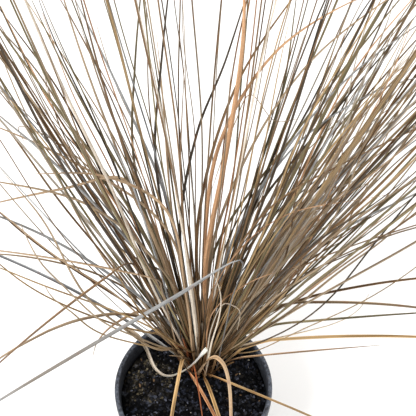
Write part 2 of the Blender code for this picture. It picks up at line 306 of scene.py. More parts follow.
@dataclass(frozen=True)
class SedgeBlade:
    """Dried sedge leaf: a fibrous, silica-hard blade that grew with ribs along it.

    The eye sees fine pale and dark lines along the leaf, painted shade in the grooves between the ribs, a
    satin sheen on the ribs, and rusty blotches.
    """

    rib_mm: float = 0.55  # real ribs are 0.2 mm apart, too fine to show
    streak_mm: float = 0.8
    streak_run_mm: float = 28
    blotch_mm: float = 3.5
    relief_mm: float = 0.12

    def material(self, name: str, blotch: float = 0.5) -> bpy.types.Material:
        """Makes the finish.

        Args:
            name: the material's name.
            blotch: how far the rusty blotches cover the leaf's own colour, from 0 to 1.

        Returns:
            The material, which takes its ground colour from the mesh.
        """
        material, tree, shader = new_finish(name)
        ground = add_node(tree, "ShaderNodeAttribute", attribute_name="piece_colour")
        grain = add_node(tree, "ShaderNodeAttribute", output="Vector", attribute_name="piece_grain")
        per_mm = math.pi / 10 / self.rib_mm  # a wave node's bands repeat every pi / 10 at scale 1
        rib_wave = {"Vector": grain, "Scale": per_mm, "Distortion": 0.6, "Detail Scale": 0.3}
        ribs = add_node(tree, "ShaderNodeTexWave", rib_wave, "Fac")
        along = (1 / self.streak_mm, 1 / self.streak_run_mm, 7.3)
        stretched = add_node(tree, "ShaderNodeVectorMath", {0: grain, 1: along}, operation="MULTIPLY")
        streaks = add_node(tree, "ShaderNodeTexNoise", {"Vector": stretched, "Scale": 1.0, "Detail": 3.0})
        round_spots = (0.5 / self.blotch_mm, 0.4 / self.blotch_mm, 3.1)
        spotted = add_node(tree, "ShaderNodeVectorMath", {0: grain, 1: round_spots}, operation="MULTIPLY")
        spot_noise = {"Vector": spotted, "Scale": 1.0, "Detail": 4.0, "Roughness": 0.6}
        spots = add_node(tree, "ShaderNodeTexNoise", spot_noise)
        lightness = add_node(tree, "ShaderNodeMapRange", {"Value": streaks, **limits(0.3, 0.7, 0.62, 1.4)})
        toned = add_node(tree, "ShaderNodeHueSaturation", {"Color": ground, "Value": lightness})
        # painted shade: the grooves between the ribs are darkened
        rib_groove_painted_shade = add_node(tree, "ShaderNodeMapRange", {"Value": ribs, **limits(0, 0.5, 0.34, 0)})
        rib_groove_shade_mix = {"Factor": rib_groove_painted_shade, "A": toned, "B": linear("#3a2c1c")}
        rib_groove_shaded = add_node(tree, "ShaderNodeMix", rib_groove_shade_mix, "Result", data_type="RGBA")
        cover = add_node(tree, "ShaderNodeMapRange", {"Value": spots, **limits(0.56, 0.7, 0, blotch)})
        rusty_mix = {"Factor": cover, "A": rib_groove_shaded, "B": linear("#7a4a2a")}
        rusty = add_node(tree, "ShaderNodeMix", rusty_mix, "Result", data_type="RGBA")
        dull = add_node(tree, "ShaderNodeMapRange", {"Value": streaks, **limits(0.3, 0.7, 0.36, 0.58)})
        tree.links.new(rusty, shader.inputs["Base Color"])
        tree.links.new(dull, shader.inputs["Roughness"])
        shader.inputs["IOR"].default_value = 1.45
        shader.inputs["Specular IOR Level"].default_value = 0.35
        height = add_node(tree, "ShaderNodeMath", {0: ribs, 1: streaks}, operation="ADD")
        relief = {"Height": height, "Strength": 0.5, "Distance": self.relief_mm * MM}
        tree.links.new(add_node(tree, "ShaderNodeBump", relief), shader.inputs["Normal"])
        return material


@dataclass(frozen=True)
class MouldedPolypropylene:
    """Black recycled polypropylene, thin and injection moulded, then handled.

    The eye sees a slate-grey satin black with a faint mottle, pale scuffs on the rim, which also paint the
    sheen of the lit rim top, and dry soil splashes.
    """

    mottle_mm: float = 6
    grain_mm: float = 0.9
    scuff_mm: float = 2.4
    splash_mm: float = 4
    relief_mm: float = 0.15

    def material(self) -> bpy.types.Material:
        """Makes the finish; the mesh's grain gives how worn each place is, and so how much painted sheen it
        has.

        Returns:
            The material.
        """
        material, tree, shader = new_finish("moulded_polypropylene")
        place = add_node(tree, "ShaderNodeTexCoord", output="Object")
        worn_and_sheen = add_node(tree, "ShaderNodeAttribute", output="Vector", attribute_name="piece_grain")
        wear_and_sheen = add_node(tree, "ShaderNodeSeparateXYZ", {0: worn_and_sheen})
        mottle, scuffs, splashes, fine = (
            add_node(
                tree,
                "ShaderNodeTexNoise",
                {"Vector": place, "Scale": 1 / (size * MM), "Detail": detail, "Roughness": rough},
            )
            for size, detail, rough in (
                (self.mottle_mm, 4.0, 0.5),
                (self.scuff_mm, 6.0, 0.7),
                (self.splash_mm, 5.0, 0.65),
                (self.grain_mm, 3.0, 0.5),
            )
        )
        patchy = add_node(tree, "ShaderNodeMapRange", {"Value": mottle, **limits(0.3, 0.7, 0, 1)})
        scratched = add_node(tree, "ShaderNodeMapRange", {"Value": scuffs, **limits(0.35, 0.7, 0, 1)})
        rubbed_and_sheen = add_node(tree, "ShaderNodeMath", {0: scratched, 1: wear_and_sheen}, operation="MULTIPLY")
        splashed = add_node(tree, "ShaderNodeMapRange", {"Value": splashes, **limits(0.6, 0.72, 0, 0.75)})
        colour: Any = linear("#0a0b0d")
        # painted sheen: the pale bluish scuffs, strongest on the rim top, also paint the lit rim
        for share, tone in ((patchy, "#191b1f"), (rubbed_and_sheen, "#666c78"), (splashed, "#4a4134")):
            layer = {"Factor": share, "A": colour, "B": linear(tone)}
            colour = add_node(tree, "ShaderNodeMix", layer, "Result", data_type="RGBA")
        dull = add_node(tree, "ShaderNodeMapRange", {"Value": scuffs, **limits(0.3, 0.7, 0.38, 0.66)})
        tree.links.new(colour, shader.inputs["Base Color"])
        tree.links.new(dull, shader.inputs["Roughness"])
        shader.inputs["IOR"].default_value = 1.49
        shader.inputs["Specular IOR Level"].default_value = 0.25
        relief = {"Height": fine, "Strength": 0.25, "Distance": self.relief_mm * MM}
        tree.links.new(add_node(tree, "ShaderNodeBump", relief), shader.inputs["Normal"])
        return material


@dataclass(frozen=True)
class PeatMix:
    """Moist peat with fine grit, pressed by watering.

    The eye sees a near-black ground with a dry mossy crust in places; the slate-grey glints and the bluish
    sheen of damp patches are painted reflections, and the hollows between clods hold painted shade.
    """

    clod_mm: float = 5
    crumb_mm: float = 1.6
    glint_mm: float = 2.6
    patch_mm: float = 4.5
    relief_mm: float = 1.2

    def material(self) -> bpy.types.Material:
        """Makes the finish; the mesh's colour gives where the crust is.

        Returns:
            The material.
        """
        material, tree, shader = new_finish("peat_mix")
        place = add_node(tree, "ShaderNodeTexCoord", output="Object")
        crust = add_node(tree, "ShaderNodeAttribute", attribute_name="piece_colour")
        crumbs, clods, patches = (
            add_node(
                tree,
                "ShaderNodeTexNoise",
                {"Vector": place, "Scale": 1 / (size * MM), "Detail": detail, "Roughness": rough},
            )
            for size, detail, rough in (
                (self.crumb_mm, 5.0, 0.7),
                (self.clod_mm, 3.0, 0.5),
                (self.patch_mm, 5.0, 0.62),
            )
        )
        grit = {"Vector": place, "Scale": 1 / (self.glint_mm * MM)}
        cells = add_node(tree, "ShaderNodeTexVoronoi", grit, "Color")
        cell = add_node(tree, "ShaderNodeSeparateXYZ", {0: cells})
        peat = add_node(tree, "ShaderNodeValToRGB", {"Fac": crumbs})
        stops = peat.node.color_ramp.elements
        stops[0].position, stops[0].color = 0.4, linear("#010101")
        stops[1].position, stops[1].color = 0.56, linear("#040405")
        stops.new(0.64).color = linear("#121317")
        stops.new(0.74).color = linear("#4b4a4e")
        # painted reflection: bluish damp patches stand in for sheen on wet peat
        damp_painted_sheen = add_node(tree, "ShaderNodeMapRange", {"Value": patches, **limits(0.54, 0.62, 0, 0.9)})
        # painted glints: pale slate cells stand in for highlights on damp crumbs
        glints = add_node(tree, "ShaderNodeMapRange", {"Value": cell, **limits(0.86, 0.97, 0, 0.4)})
        crusted = add_node(tree, "ShaderNodeMapRange", {"Value": crumbs, **limits(0.42, 0.64, 0, 0.85)})
        # painted shade: the hollows between clods are darkened
        hollow_painted_shade = add_node(tree, "ShaderNodeMapRange", {"Value": clods, **limits(0.42, 0.58, 0.92, 0)})
        colour = peat
        for share, tone, mode in (
            (damp_painted_sheen, linear("#2c303c"), "MIX"),
            (glints, linear("#565a66"), "MIX"),
            (crusted, crust, "ADD"),
            (hollow_painted_shade, linear("#030304"), "MIX"),
        ):
            layer = {"Factor": share, "A": colour, "B": tone}
            colour = add_node(tree, "ShaderNodeMix", layer, "Result", data_type="RGBA", blend_type=mode)
        dull = add_node(tree, "ShaderNodeMapRange", {"Value": crumbs, **limits(0.3, 0.7, 0.4, 0.9)})
        tree.links.new(colour, shader.inputs["Base Color"])
        tree.links.new(dull, shader.inputs["Roughness"])
        shader.inputs["Specular IOR Level"].default_value = 0.05
        relief = {"Height": crumbs, "Strength": 0.9, "Distance": self.relief_mm * MM}
        tree.links.new(add_node(tree, "ShaderNodeBump", relief), shader.inputs["Normal"])
        return material


@dataclass(frozen=True)
class LooseBit:
    """Small loose matter in the mix, such as bark, perlite or moss crumbs, weathered and rough.

    The eye sees each bit as one small colour with grain on it, soft and without gloss.
    """

    grain_mm: float = 0.7
    relief_mm: float = 0.4

    def material(self, name: str, roughness: float) -> bpy.types.Material:
        """Makes the finish, which takes its ground colour from the mesh.

        Args:
            name: the material's name.
            roughness: how rough the bits are.

        Returns:
            The material.
        """
        material, tree, shader = new_finish(name)
        place = add_node(tree, "ShaderNodeTexCoord", output="Object")
        ground = add_node(tree, "ShaderNodeAttribute", attribute_name="piece_colour")
        grit = {"Vector": place, "Scale": 1 / (self.grain_mm * MM), "Detail": 4.0}
        grain = add_node(tree, "ShaderNodeTexNoise", grit)
        lightness = add_node(tree, "ShaderNodeMapRange", {"Value": grain, **limits(0.3, 0.7, 0.5, 1.4)})
        toned = add_node(tree, "ShaderNodeHueSaturation", {"Color": ground, "Value": lightness})
        tree.links.new(toned, shader.inputs["Base Color"])
        shader.inputs["Roughness"].default_value = roughness
        shader.inputs["Specular IOR Level"].default_value = 0.15
        relief = {"Height": grain, "Strength": 0.7, "Distance": self.relief_mm * MM}
        tree.links.new(add_node(tree, "ShaderNodeBump", relief), shader.inputs["Normal"])
        return material


# --- leaves ---------------------------------------------------------------------------------------


@dataclass
class Trace:
    """One leaf solid of the frame: its points from foot to tip, its width, and its upper side."""

    points: list[Vector]
    width: float
    upper: Vector


def mesh_links(node: bpy.types.Object) -> tuple[list[Vector], list[set[int]]]:
    """The merged points of a frame node, and each point's neighbours.

    Args:
        node: the frame's object.

    Returns:
        The points, and for each the numbers of the points that an edge joins it to.
    """
    numbers: dict[tuple[float, ...], int] = {}
    points: list[Vector] = []
    merged: list[int] = []
    for vertex in node.data.vertices:
        key = tuple(round(part, 6) for part in vertex.co)
        if key not in numbers:
            numbers[key] = len(points)
            points.append(vertex.co.copy())
        merged.append(numbers[key])
    links: list[set[int]] = [set() for _ in points]
    for edge in node.data.edges:
        a, b = (merged[k] for k in edge.vertices)
        if a != b:
            links[a].add(b)
            links[b].add(a)
    return points, links


def trace_leaves(node: bpy.types.Object, least_reach: float) -> list[Trace]:
    """Follows each leaf solid of a frame node from its tip down its three-cornered cross-sections.

    Args:
        node: the frame's object.
        least_reach: how far a tip is at least from the node's lowest point, in metres.

    Returns:
        The traces, in a steady order.
    """
    points, links = mesh_links(node)
    lowest = min(points, key=lambda point: point.z)
    tips = [
        k for k, near in enumerate(links) if len(near) == 3 and (points[k] - lowest).length >= least_reach
    ]
    traces = []
    for tip in tips:
        seen, ring = {tip}, set(links[tip])
        line, widths, upper = [points[tip]], [], Vector((0, 0, 1))
        while len(ring) == 3:
            corners = [points[k] for k in ring]
            middle = sum(corners, Vector()) / 3
            if (middle - line[-1]).length < SAME_PLACE:
                break
            first, second, third = corners
            spans = [(second - third).length, (first - third).length, (first - second).length]
            line.append(middle)
            widths.append(max(spans))
            upper = corners[spans.index(max(spans))] - line[-1]
            seen |= ring
            ring = {far for k in ring for far in links[k]} - seen
        line.reverse()
        traces.append(Trace(line, max(widths), upper.normalized()))
    return sorted(traces, key=lambda trace: tuple(round(part, 4) for part in trace.points[-1]))


def smooth_line(points: Sequence[Vector], per_span: int) -> list[Vector]:
    """Runs a smooth curve through points, close to them even at a sharp bend.

    Args:
        points: the points to pass.
        per_span: how many steps lie between two of them.

    Returns:
        The curve's points.
    """
    padded = [2 * points[0] - points[1], *points, 2 * points[-1] - points[-2]]
    curve = [Vector(points[0])]
    for a, b, c, d in zip(padded, padded[1:], padded[2:], padded[3:]):
        knots = [0.0]
        for p, q in ((a, b), (b, c), (c, d)):
            knots.append(knots[-1] + max((q - p).length, 1e-6) ** 0.5)
        t0, t1, t2, t3 = knots
        for k in range(1, per_span + 1):
            t = t1 + (t2 - t1) * k / per_span
            a1 = a * ((t1 - t) / (t1 - t0)) + b * ((t - t0) / (t1 - t0))
            a2 = b * ((t2 - t) / (t2 - t1)) + c * ((t - t1) / (t2 - t1))
            a3 = c * ((t3 - t) / (t3 - t2)) + d * ((t - t2) / (t3 - t2))
            b1 = a1 * ((t2 - t) / (t2 - t0)) + a2 * ((t - t0) / (t2 - t0))
            b2 = a2 * ((t3 - t) / (t3 - t1)) + a3 * ((t - t1) / (t3 - t1))
            curve.append(b1 * ((t2 - t) / (t2 - t1)) + b2 * ((t - t1) / (t2 - t1)))
    return curve


@dataclass(frozen=True)
class Station:
    """A place along a leaf: the middle of the leaf, its side and upper directions, and its size there."""

    point: Vector
    side: Vector
    normal: Vector
    half: float
    angle: float
    share: float
    length: float


class SectionPoint(NamedTuple):
    """A corner of a leaf's cross-section: across in half widths, lift in thicknesses, and its side."""

    across: float
    lift: float
    under: bool


SECTION = (
    SectionPoint(-1, 0, False),
    SectionPoint(-0.5, 0, False),
    SectionPoint(0, 0, False),
    SectionPoint(0.5, 0, False),
    SectionPoint(1, 0, False),
    SectionPoint(0.5, -1, True),
    SectionPoint(0, -1.6, True),
    SectionPoint(-0.5, -1, True),
)


@dataclass
class Blade:
    """One leaf: a gutter folded along its keel, full at the foot and drawn out to a fine tip.

    A broken leaf may be slim and dull from its foot up to its break, given as a share of its length.
    """

    line: list[Vector]
    upper: Vector
    width: float
    shade: Shade
    fold: float = 38
    turn: float = 0
    twist: float = 40
    blunt: float = 3.2
    clasp: float = 1.25
    slim_until: float = 0
    slim: float = 0.5
    fade_from: float = 0.7
    light: float = 1
    thickness: float = 0.22 * MM
    number: int = 0
    foot_share: float = 0.12
    foot_fold: float = 74
    least_half: float = 0.06 * MM
    drift_length: float = 0.05
    # painted shade on the keel groove, and painted light and shade on the two halves of the upper side
    keel_painted_shade: float = 0.5
    painted_lit_half: float = 1.2
    painted_shaded_half: float = 0.72
    # the leaf pales towards its foot, and this paling also paints light into the clump's shade there
    pale_foot_and_painted_light: float = 0.55
    slim_dim: float = 0.4

    def half_section(self, share: float) -> float:
        """Works out half the leaf's width.

        Args:
            share: the place along the leaf, from 0 at its foot to 1 at its tip.

        Returns:
            The half width there, in metres.
        """
        foot = 1 + (self.clasp - 1) * (1 - ramp(0, self.foot_share, share))
        if self.slim_until:
            full = ramp(self.slim_until - 0.01, self.slim_until + 0.12, share)
            foot *= self.slim + (1 - self.slim) * full
        return self.width / 2 * foot * max(0.0, 1 - share**self.blunt) ** 0.75 + self.least_half

    def stations(self) -> list[Station]:
        """Places the leaf's cross-sections, with its twist spread along it.

        Returns:
            The stations from foot to tip.
        """
        lengths = [0.0]
        for a, b in zip(self.line, self.line[1:]):
            lengths.append(lengths[-1] + (b - a).length)
        upper = self.upper.copy()
        made = []
        last = len(self.line) - 1
        for k, point in enumerate(self.line):
            along = (self.line[min(k + 1, last)] - self.line[max(k - 1, 0)]).normalized()
            upper = (upper - along * upper.dot(along)).normalized()
            share = lengths[k] / lengths[-1]
            normal = Matrix.Rotation(math.radians(self.turn + self.twist * share), 3, along) @ upper
            closed = 1 - ramp(0.02, self.foot_share, share)
            angle = math.radians(self.fold + (self.foot_fold - self.fold) * closed)
            side = along.cross(normal)
            made.append(Station(point, side, normal, self.half_section(share), angle, share, lengths[k]))
        return made

    def colour_at(self, across: float, under: bool, station: Station) -> Sequence[float]:
        """The leaf's ground colour: pale margins, painted shade in the groove over the keel, one half painted
        lit and the other painted in shade, and painted light towards the foot.

        Args:
            across: where the point lies, from -1 at the left edge to 1 at the right.
            under: whether it is on the underside.
            station: the cross-section that it belongs to.

        Returns:
            Red, green, blue and alpha, linear.
        """
        tone = self.shade.value
        upper, below, foot, tip = (linear(code) for code in (tone.upper, tone.under, tone.foot, tone.tip))
        if under:
            colour = blend(below, upper, 0.45 if across == 0 else 0.1)
        else:
            colour = blend(upper, below, 0.85 if abs(across) == 1 else 0.1)
            # painted light and shade: one half of the upper side is painted lit, the other painted in shade,
            # and the keel groove is painted in shade
            painted_lit_side = across * (self.number % 2 - 0.5) > 0
            half = self.painted_lit_half if painted_lit_side else self.painted_shaded_half
            colour = tuple(part * (self.keel_painted_shade if across == 0 else half) for part in colour)
        colour = blend(colour, foot, 0.7 * (1 - ramp(0.0, 0.14, station.share)))
        colour = blend(colour, tip, 0.65 * ramp(self.fade_from, self.fade_from + 0.3, station.share))
        drift = noise.noise(Vector((station.length / self.drift_length, self.number * 3.7, 1.5)))
        colour = blend(colour, below, max(0.0, 1.3 * drift))
        gain = self.light * (self.slim_dim if station.share < self.slim_until else 1)
        # painted light: brighter towards the foot, where the clump shades the leaf; the foot is also paler
        gain *= 1 + self.pale_foot_and_painted_light * (1 - ramp(0.05, 0.45, station.share))
        gain *= 1 + 0.5 * min(0.0, drift)
        return (*(min(0.9, part * gain) for part in colour[:3]), 1.0)

    def add_to(self, maker: MeshMaker, strip: int, strips: int) -> None:
        """Adds the leaf to a mesh.

        Args:
            maker: the mesh that takes it.
            strip: the leaf's number in the piece.
            strips: how many leaves the piece has.
        """
        stations = self.stations()
        rings = [self._ring(maker, station) for station in stations]
        width = 0.9 / strips
        left = (strip + 0.05) / strips
        count = len(rings[0])
        for k in range(len(rings) - 1):
            low, high = 0.02 + 0.96 * stations[k].share, 0.02 + 0.96 * stations[k + 1].share
            for i in range(count):
                j = (i + 1) % count
                u, v = left + width * i / count, left + width * (i + 1) / count
                maker.face(
                    (rings[k][i], rings[k][j], rings[k + 1][j], rings[k + 1][i]),
                    ((u, low), (v, low), (v, high), (u, high)),
                )
        for ring, height in ((rings[0][::-1], 0.005), (rings[-1], 0.995)):
            maker.face(ring, [(left + width * i / count, height) for i in range(count)])

    def _ring(self, maker: MeshMaker, station: Station) -> list[int]:
        """Adds one cross-section, from the left edge over the upper side and back along the underside.

        Args:
            maker: the mesh that takes it.
            station: where it lies, and its size.

        Returns:
            The numbers of its points.
        """
        numbers = []
        half = station.half
        wide, deep = half * math.cos(station.angle), half * math.sin(station.angle)
        for corner in SECTION:
            rise = (abs(corner.across) ** 1.15 - 0.35) * deep + corner.lift * self.thickness
            spot = station.point + station.side * corner.across * wide + station.normal * rise
            from_keel = corner.across * half / MM + (40 if corner.under else 0)
            grain = (from_keel, station.length / MM, float(self.number))
            numbers.append(maker.add(spot, self.colour_at(corner.across, corner.under, station), grain))
        return numbers


def wavy(line: Sequence[Vector], chance: random.Random, sway: float) -> list[Vector]:
    """Lets a leaf's line sway a little from side to side, more towards its tip.

    Args:
        line: the points from foot to tip.
        chance: the source of the sway.
        sway: the widest sway, in metres.

    Returns:
        The new points.
    """
    along = (line[-1] - line[0]).normalized()
    across = along.orthogonal().normalized()
    other = along.cross(across)
    phases = [chance.uniform(0, 2 * math.pi) for _ in range(4)]
    turns = [chance.uniform(0.7, 1.6), chance.uniform(1.8, 3.2)]

    def wave(share: float, slow: float, quick: float) -> float:
        """A slow wave with a small quick one on it, at a share of the leaf, for their two phases."""
        full = 2 * math.pi * share
        return math.sin(turns[0] * full + slow) + 0.35 * math.sin(turns[1] * full + quick)

    made = []
    for k, point in enumerate(line):
        share = k / (len(line) - 1)
        x, y = wave(share, phases[0], phases[1]), wave(share, phases[2], phases[3])
        made.append(point + (across * x + other * y) * sway * ramp(0.05, 0.9, share))
    return made


SHADE_SHARES = (
    (Shade.TAUPE, 27),
    (Shade.BROWN, 20),
    (Shade.OLIVE, 13),
    (Shade.STRAW, 11),
    (Shade.TAN, 13),
    (Shade.GLAUCOUS_AND_SHEEN, 5),
    (Shade.BLEACHED, 6),
    (Shade.ORANGE, 3),
    (Shade.DARK, 10),
)


def pick_shade(chance: random.Random) -> Shade:
    """Picks the state of a leaf by how common it is in the clump."""
    shades, weights = zip(*SHADE_SHARES)
    return chance.choices(shades, weights)[0]


def kept_inside(line: list[Vector]) -> list[Vector]:
    """Cuts a leaf's line off where it would leave the frame's box.

    Args:
        line: the points from foot to tip.

    Returns:
        The points up to the last one inside.
    """
    low, high = CAD_BOX
    for k, point in enumerate(line):
        if k > 2 and any(not low[i] <= point[i] <= high[i] for i in range(3)):
            return line[:k]
    return line


@dataclass
class Tiller:
    """A shoot: the leaves of one frame node, and finer leaves that come up between them."""

    node: str
    finish: bpy.types.Material
    fine_spread: float = 0.06
    fine_bow: float = 0.014
    fine_right: int = 8
    fine_left: int = 3
    fine_width: tuple[float, float] = (1.2 * MM, 2.4 * MM)
    sway: float = 3.4 * MM
    rooting: float = 0.12
    slimmer_middle: float = 0.4
    tries: int = 30
    per_span: int = 8

    def build(self) -> bpy.types.Object:
        """Builds the shoot.

        Returns:
            The piece.
        """
        chance = random.Random(f"{SEED} {self.node}")
        traces = trace_leaves(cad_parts[self.node], LEAST_TIP_REACH)
        low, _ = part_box(self.node)
        top = sum((trace.points[0] for trace in traces), Vector()) / len(traces)
        axis = (sum((trace.points[1] for trace in traces), Vector()) / len(traces) - top).normalized()
        foot = top - axis * ((top.z - low.z + 1 * MM) / axis.z)
        middling = 1 - ramp(0.12, 0.3, abs(axis.x - 0.02))
        blades = []
        for trace in traces:
            rooted = [foot.lerp(trace.points[0], self.rooting), *trace.points]
            width = trace.width * chance.uniform(0.75, 1.15) * (1 - self.slimmer_middle * middling)
            blades.append(self._blade(rooted, trace.upper, width, self.sway, chance))
        for _ in range(self._fine_count(axis)):
            rooted = self._fine_line(traces, foot, axis, chance)
            width = chance.uniform(*self.fine_width)
            blades.append(self._blade(rooted, traces[0].upper, width, 2 * self.sway, chance))
        maker = MeshMaker()
        for k, blade in enumerate(blades):
            blade.number = k + 1
            blade.add_to(maker, k, len(blades))
        piece = maker.build(f"{self.node}_leaves", self.finish)
        place_piece(piece, [self.node])
        return piece

    def _fine_count(self, axis: Vector) -> int:
        """Counts the finer leaves of a shoot: most in the right sheaf, none in the sparse middle.

        Args:
            axis: the shoot's direction.

        Returns:
            The number of finer leaves.
        """
        if axis.x > 0.25:
            return self.fine_right
        return self.fine_left if axis.x < -0.2 else 0

    def _fine_line(
        self, traces: Sequence[Trace], foot: Vector, axis: Vector, chance: random.Random
    ) -> list[Vector]:
        """The line of a finer leaf between two others, which drifts off to its own side.

        Args:
            traces: the shoot's leaves in the frame.
            foot: where the shoot stands.
            axis: the shoot's direction.
            chance: the source of its drift.

        Returns:
            The line's points; it rises all the way at first, and never curls back.
        """
        best: list[Vector] = []
        for _ in range(self.tries):
            a, b = chance.choice(traces), chance.choice(traces)
            share, reach = chance.uniform(0.2, 0.8), chance.uniform(0.5, 0.95)
            drift = Vector((abs(chance.gauss(0, 1)), chance.gauss(0, 0.8), chance.gauss(0, 0.45)))
            drift *= self.fine_spread * reach
            if axis.x > 0:
                drift.y, drift.z = abs(drift.y), abs(drift.z)
            else:
                drift.x *= -1
            bow = Vector((chance.gauss(0, 1), chance.gauss(0, 0.6), chance.gauss(0, 0.6))) * self.fine_bow
            between = [p.lerp(q, share) for p, q in zip(a.points, b.points)]
            start = between[0]
            bent = []
            for k, point in enumerate(between):
                along = k / (len(between) - 1)
                aside = drift * along**1.3 + bow * math.sin(math.pi * along)
                bent.append(start + (point - start) * reach + aside)
            best = [foot.lerp(bent[0], self.rooting), *bent]
            if self._is_fair(bent):
                break
        return best

    @staticmethod
    def _is_fair(line: Sequence[Vector]) -> bool:
        """Tells whether a line is nearly straight as a whole, and rises well over its first two spans.

        Args:
            line: the points from foot to tip.

        Returns:
            True if it is fair.
        """
        length = sum((b - a).length for a, b in zip(line, line[1:]))
        start = line[2] - line[0]
        return (line[-1] - line[0]).length > 0.93 * length and start.z > 0.3 * start.length

    def _blade(
        self, points: Sequence[Vector], upper: Vector, width: float, sway: float, chance: random.Random
    ) -> Blade:
        """Makes one leaf of the shoot.

        Args:
            points: the points that it passes, from foot to tip.
            upper: the direction of its upper side at the foot.
            width: its width.
            sway: how far it sways from the points.
            chance: the source of its sway and its look.

        Returns:
            The leaf.
        """
        line = kept_inside(wavy(smooth_line(points, self.per_span), chance, sway))
        return Blade(
            line,
            upper,
            width,
            pick_shade(chance),
            fold=chance.uniform(20, 48),
            turn=chance.uniform(-40, 40),
            twist=chance.uniform(-140, 140),
            blunt=chance.uniform(2.6, 6.0),
            light=chance.uniform(0.5, 1.05),
        )


@dataclass(frozen=True)
class LooseLook:
    """How one single leaf looks: its shade, how folded it is, how it turns, and how blunt its tip is."""

    shade: Shade
    fold: float = 30
    turn: float = 0
    twist: float = 20
    blunt: float = 3.0
    widen: float = 1.0
    light: float = 1.0
    slim_until: float = 0
    slim: float = 0.5
    fade_from: float = 0.7

    def blade(self, line: list[Vector], upper: Vector, width: float, number: int) -> Blade:
        """A leaf with this look.

        Args:
            line: the points from foot to tip.
            upper: the direction of its upper side at the foot.
            width: its width before the look widens it, in metres.
            number: what its colours' drift is drawn from.

        Returns:
            The leaf.
        """
        return Blade(
            line,
            upper,
            width * self.widen,
            self.shade,
            fold=self.fold,
            turn=self.turn,
            twist=self.twist,
            blunt=self.blunt,
            light=self.light,
            slim_until=self.slim_until,
            slim=self.slim,
            fade_from=self.fade_from,
            number=number,
        )


LOOSE_LOOKS: dict[str, LooseLook] = {
    "leaf_front_tan": LooseLook(Shade.STRAW, 34, 0, 10, light=1.25),
    "leaf_front_orange": LooseLook(Shade.ORANGE, 35, 10, -20, light=1.0),
    "leaf_front_rust": LooseLook(Shade.RUST, 40, light=0.95),
    "leaf_front_straight": LooseLook(Shade.STRAW, 32, 0, 15, light=1.25),
    "leaf_front_olive": LooseLook(Shade.STRAW, 34, 0, -20, light=1.1, widen=1.15),
    "leaf_front_arch": LooseLook(Shade.TAN, 22, 0, 30, light=1.15),
    "leaf_folded": LooseLook(
        Shade.GLAUCOUS_AND_SHEEN, 18, 0, 10, 6.0, light=0.72, slim_until=0.385, slim=0.3, fade_from=0.5
    ),
    "leaf_shed": LooseLook(Shade.BLEACHED, 22, 40, 30, 14.0, 1.7, 1.3),
    "leaf_left_low": LooseLook(Shade.GLAUCOUS_AND_SHEEN, 36, 0, 15, 5.0, light=0.85),
    "leaf_left_orange": LooseLook(Shade.TAN, 30, 0, 30, 5.0, 1.4, 1.1, slim_until=0.42, slim=0.5),
    "leaf_left_dark": LooseLook(Shade.BROWN, 30, 0, 20, 5.0, 1.35, 1.0, slim_until=0.45, slim=0.5),
    "leaf_left_arch": LooseLook(Shade.TAUPE, 22, 0, 20, 6.0, 1.1),
    "leaf_left_short": LooseLook(Shade.TAN, 22, 0, 20, 5.0, 1.1),
    "leaf_left_grey": LooseLook(Shade.TAUPE, 36, 0, 40, 4.0),
    "leaf_right_golden": LooseLook(Shade.STRAW, 30, 0, 20, 5.0, light=1.1),
    "leaf_right_fine": LooseLook(Shade.TAN, 36, 0, 60),
    "leaf_right_bow": LooseLook(Shade.OLIVE, 32, 0, -30, 5.0),
    "leaf_right_dip": LooseLook(Shade.TAUPE, 32, 0, 40, 5.0),
    "leaf_right_up": LooseLook(Shade.BROWN, 36, 0, 30, 5.0),
    "leaf_right_hook": LooseLook(Shade.BLEACHED, 40, 0, 90),
}


@dataclass
class LooseLeaf:
    """A single leaf that follows one frame node."""

    node: str
    look: LooseLook
    finish: bpy.types.Material
    per_span: int = 5

    def build(self) -> bpy.types.Object:
        """Builds the leaf.

        Returns:
            The piece.
        """
        trace = max(trace_leaves(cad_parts[self.node], 0), key=lambda found: len(found.points))
        number = sum(map(ord, self.node)) % 97
        blade = self.look.blade(smooth_line(trace.points, self.per_span), trace.upper, trace.width, number)
        maker = MeshMaker()
        blade.add_to(maker, 0, 1)
        piece = maker.build(f"{self.node}_blade", self.finish)
        place_piece(piece, [self.node])
        return piece


@dataclass(frozen=True)
class Stray:
    """A leaf apart from the sheaves: its way from foot to tip and its width, in mm, and its look."""

    path: tuple[tuple[int, int, int], ...]
    width: float
    look: LooseLook


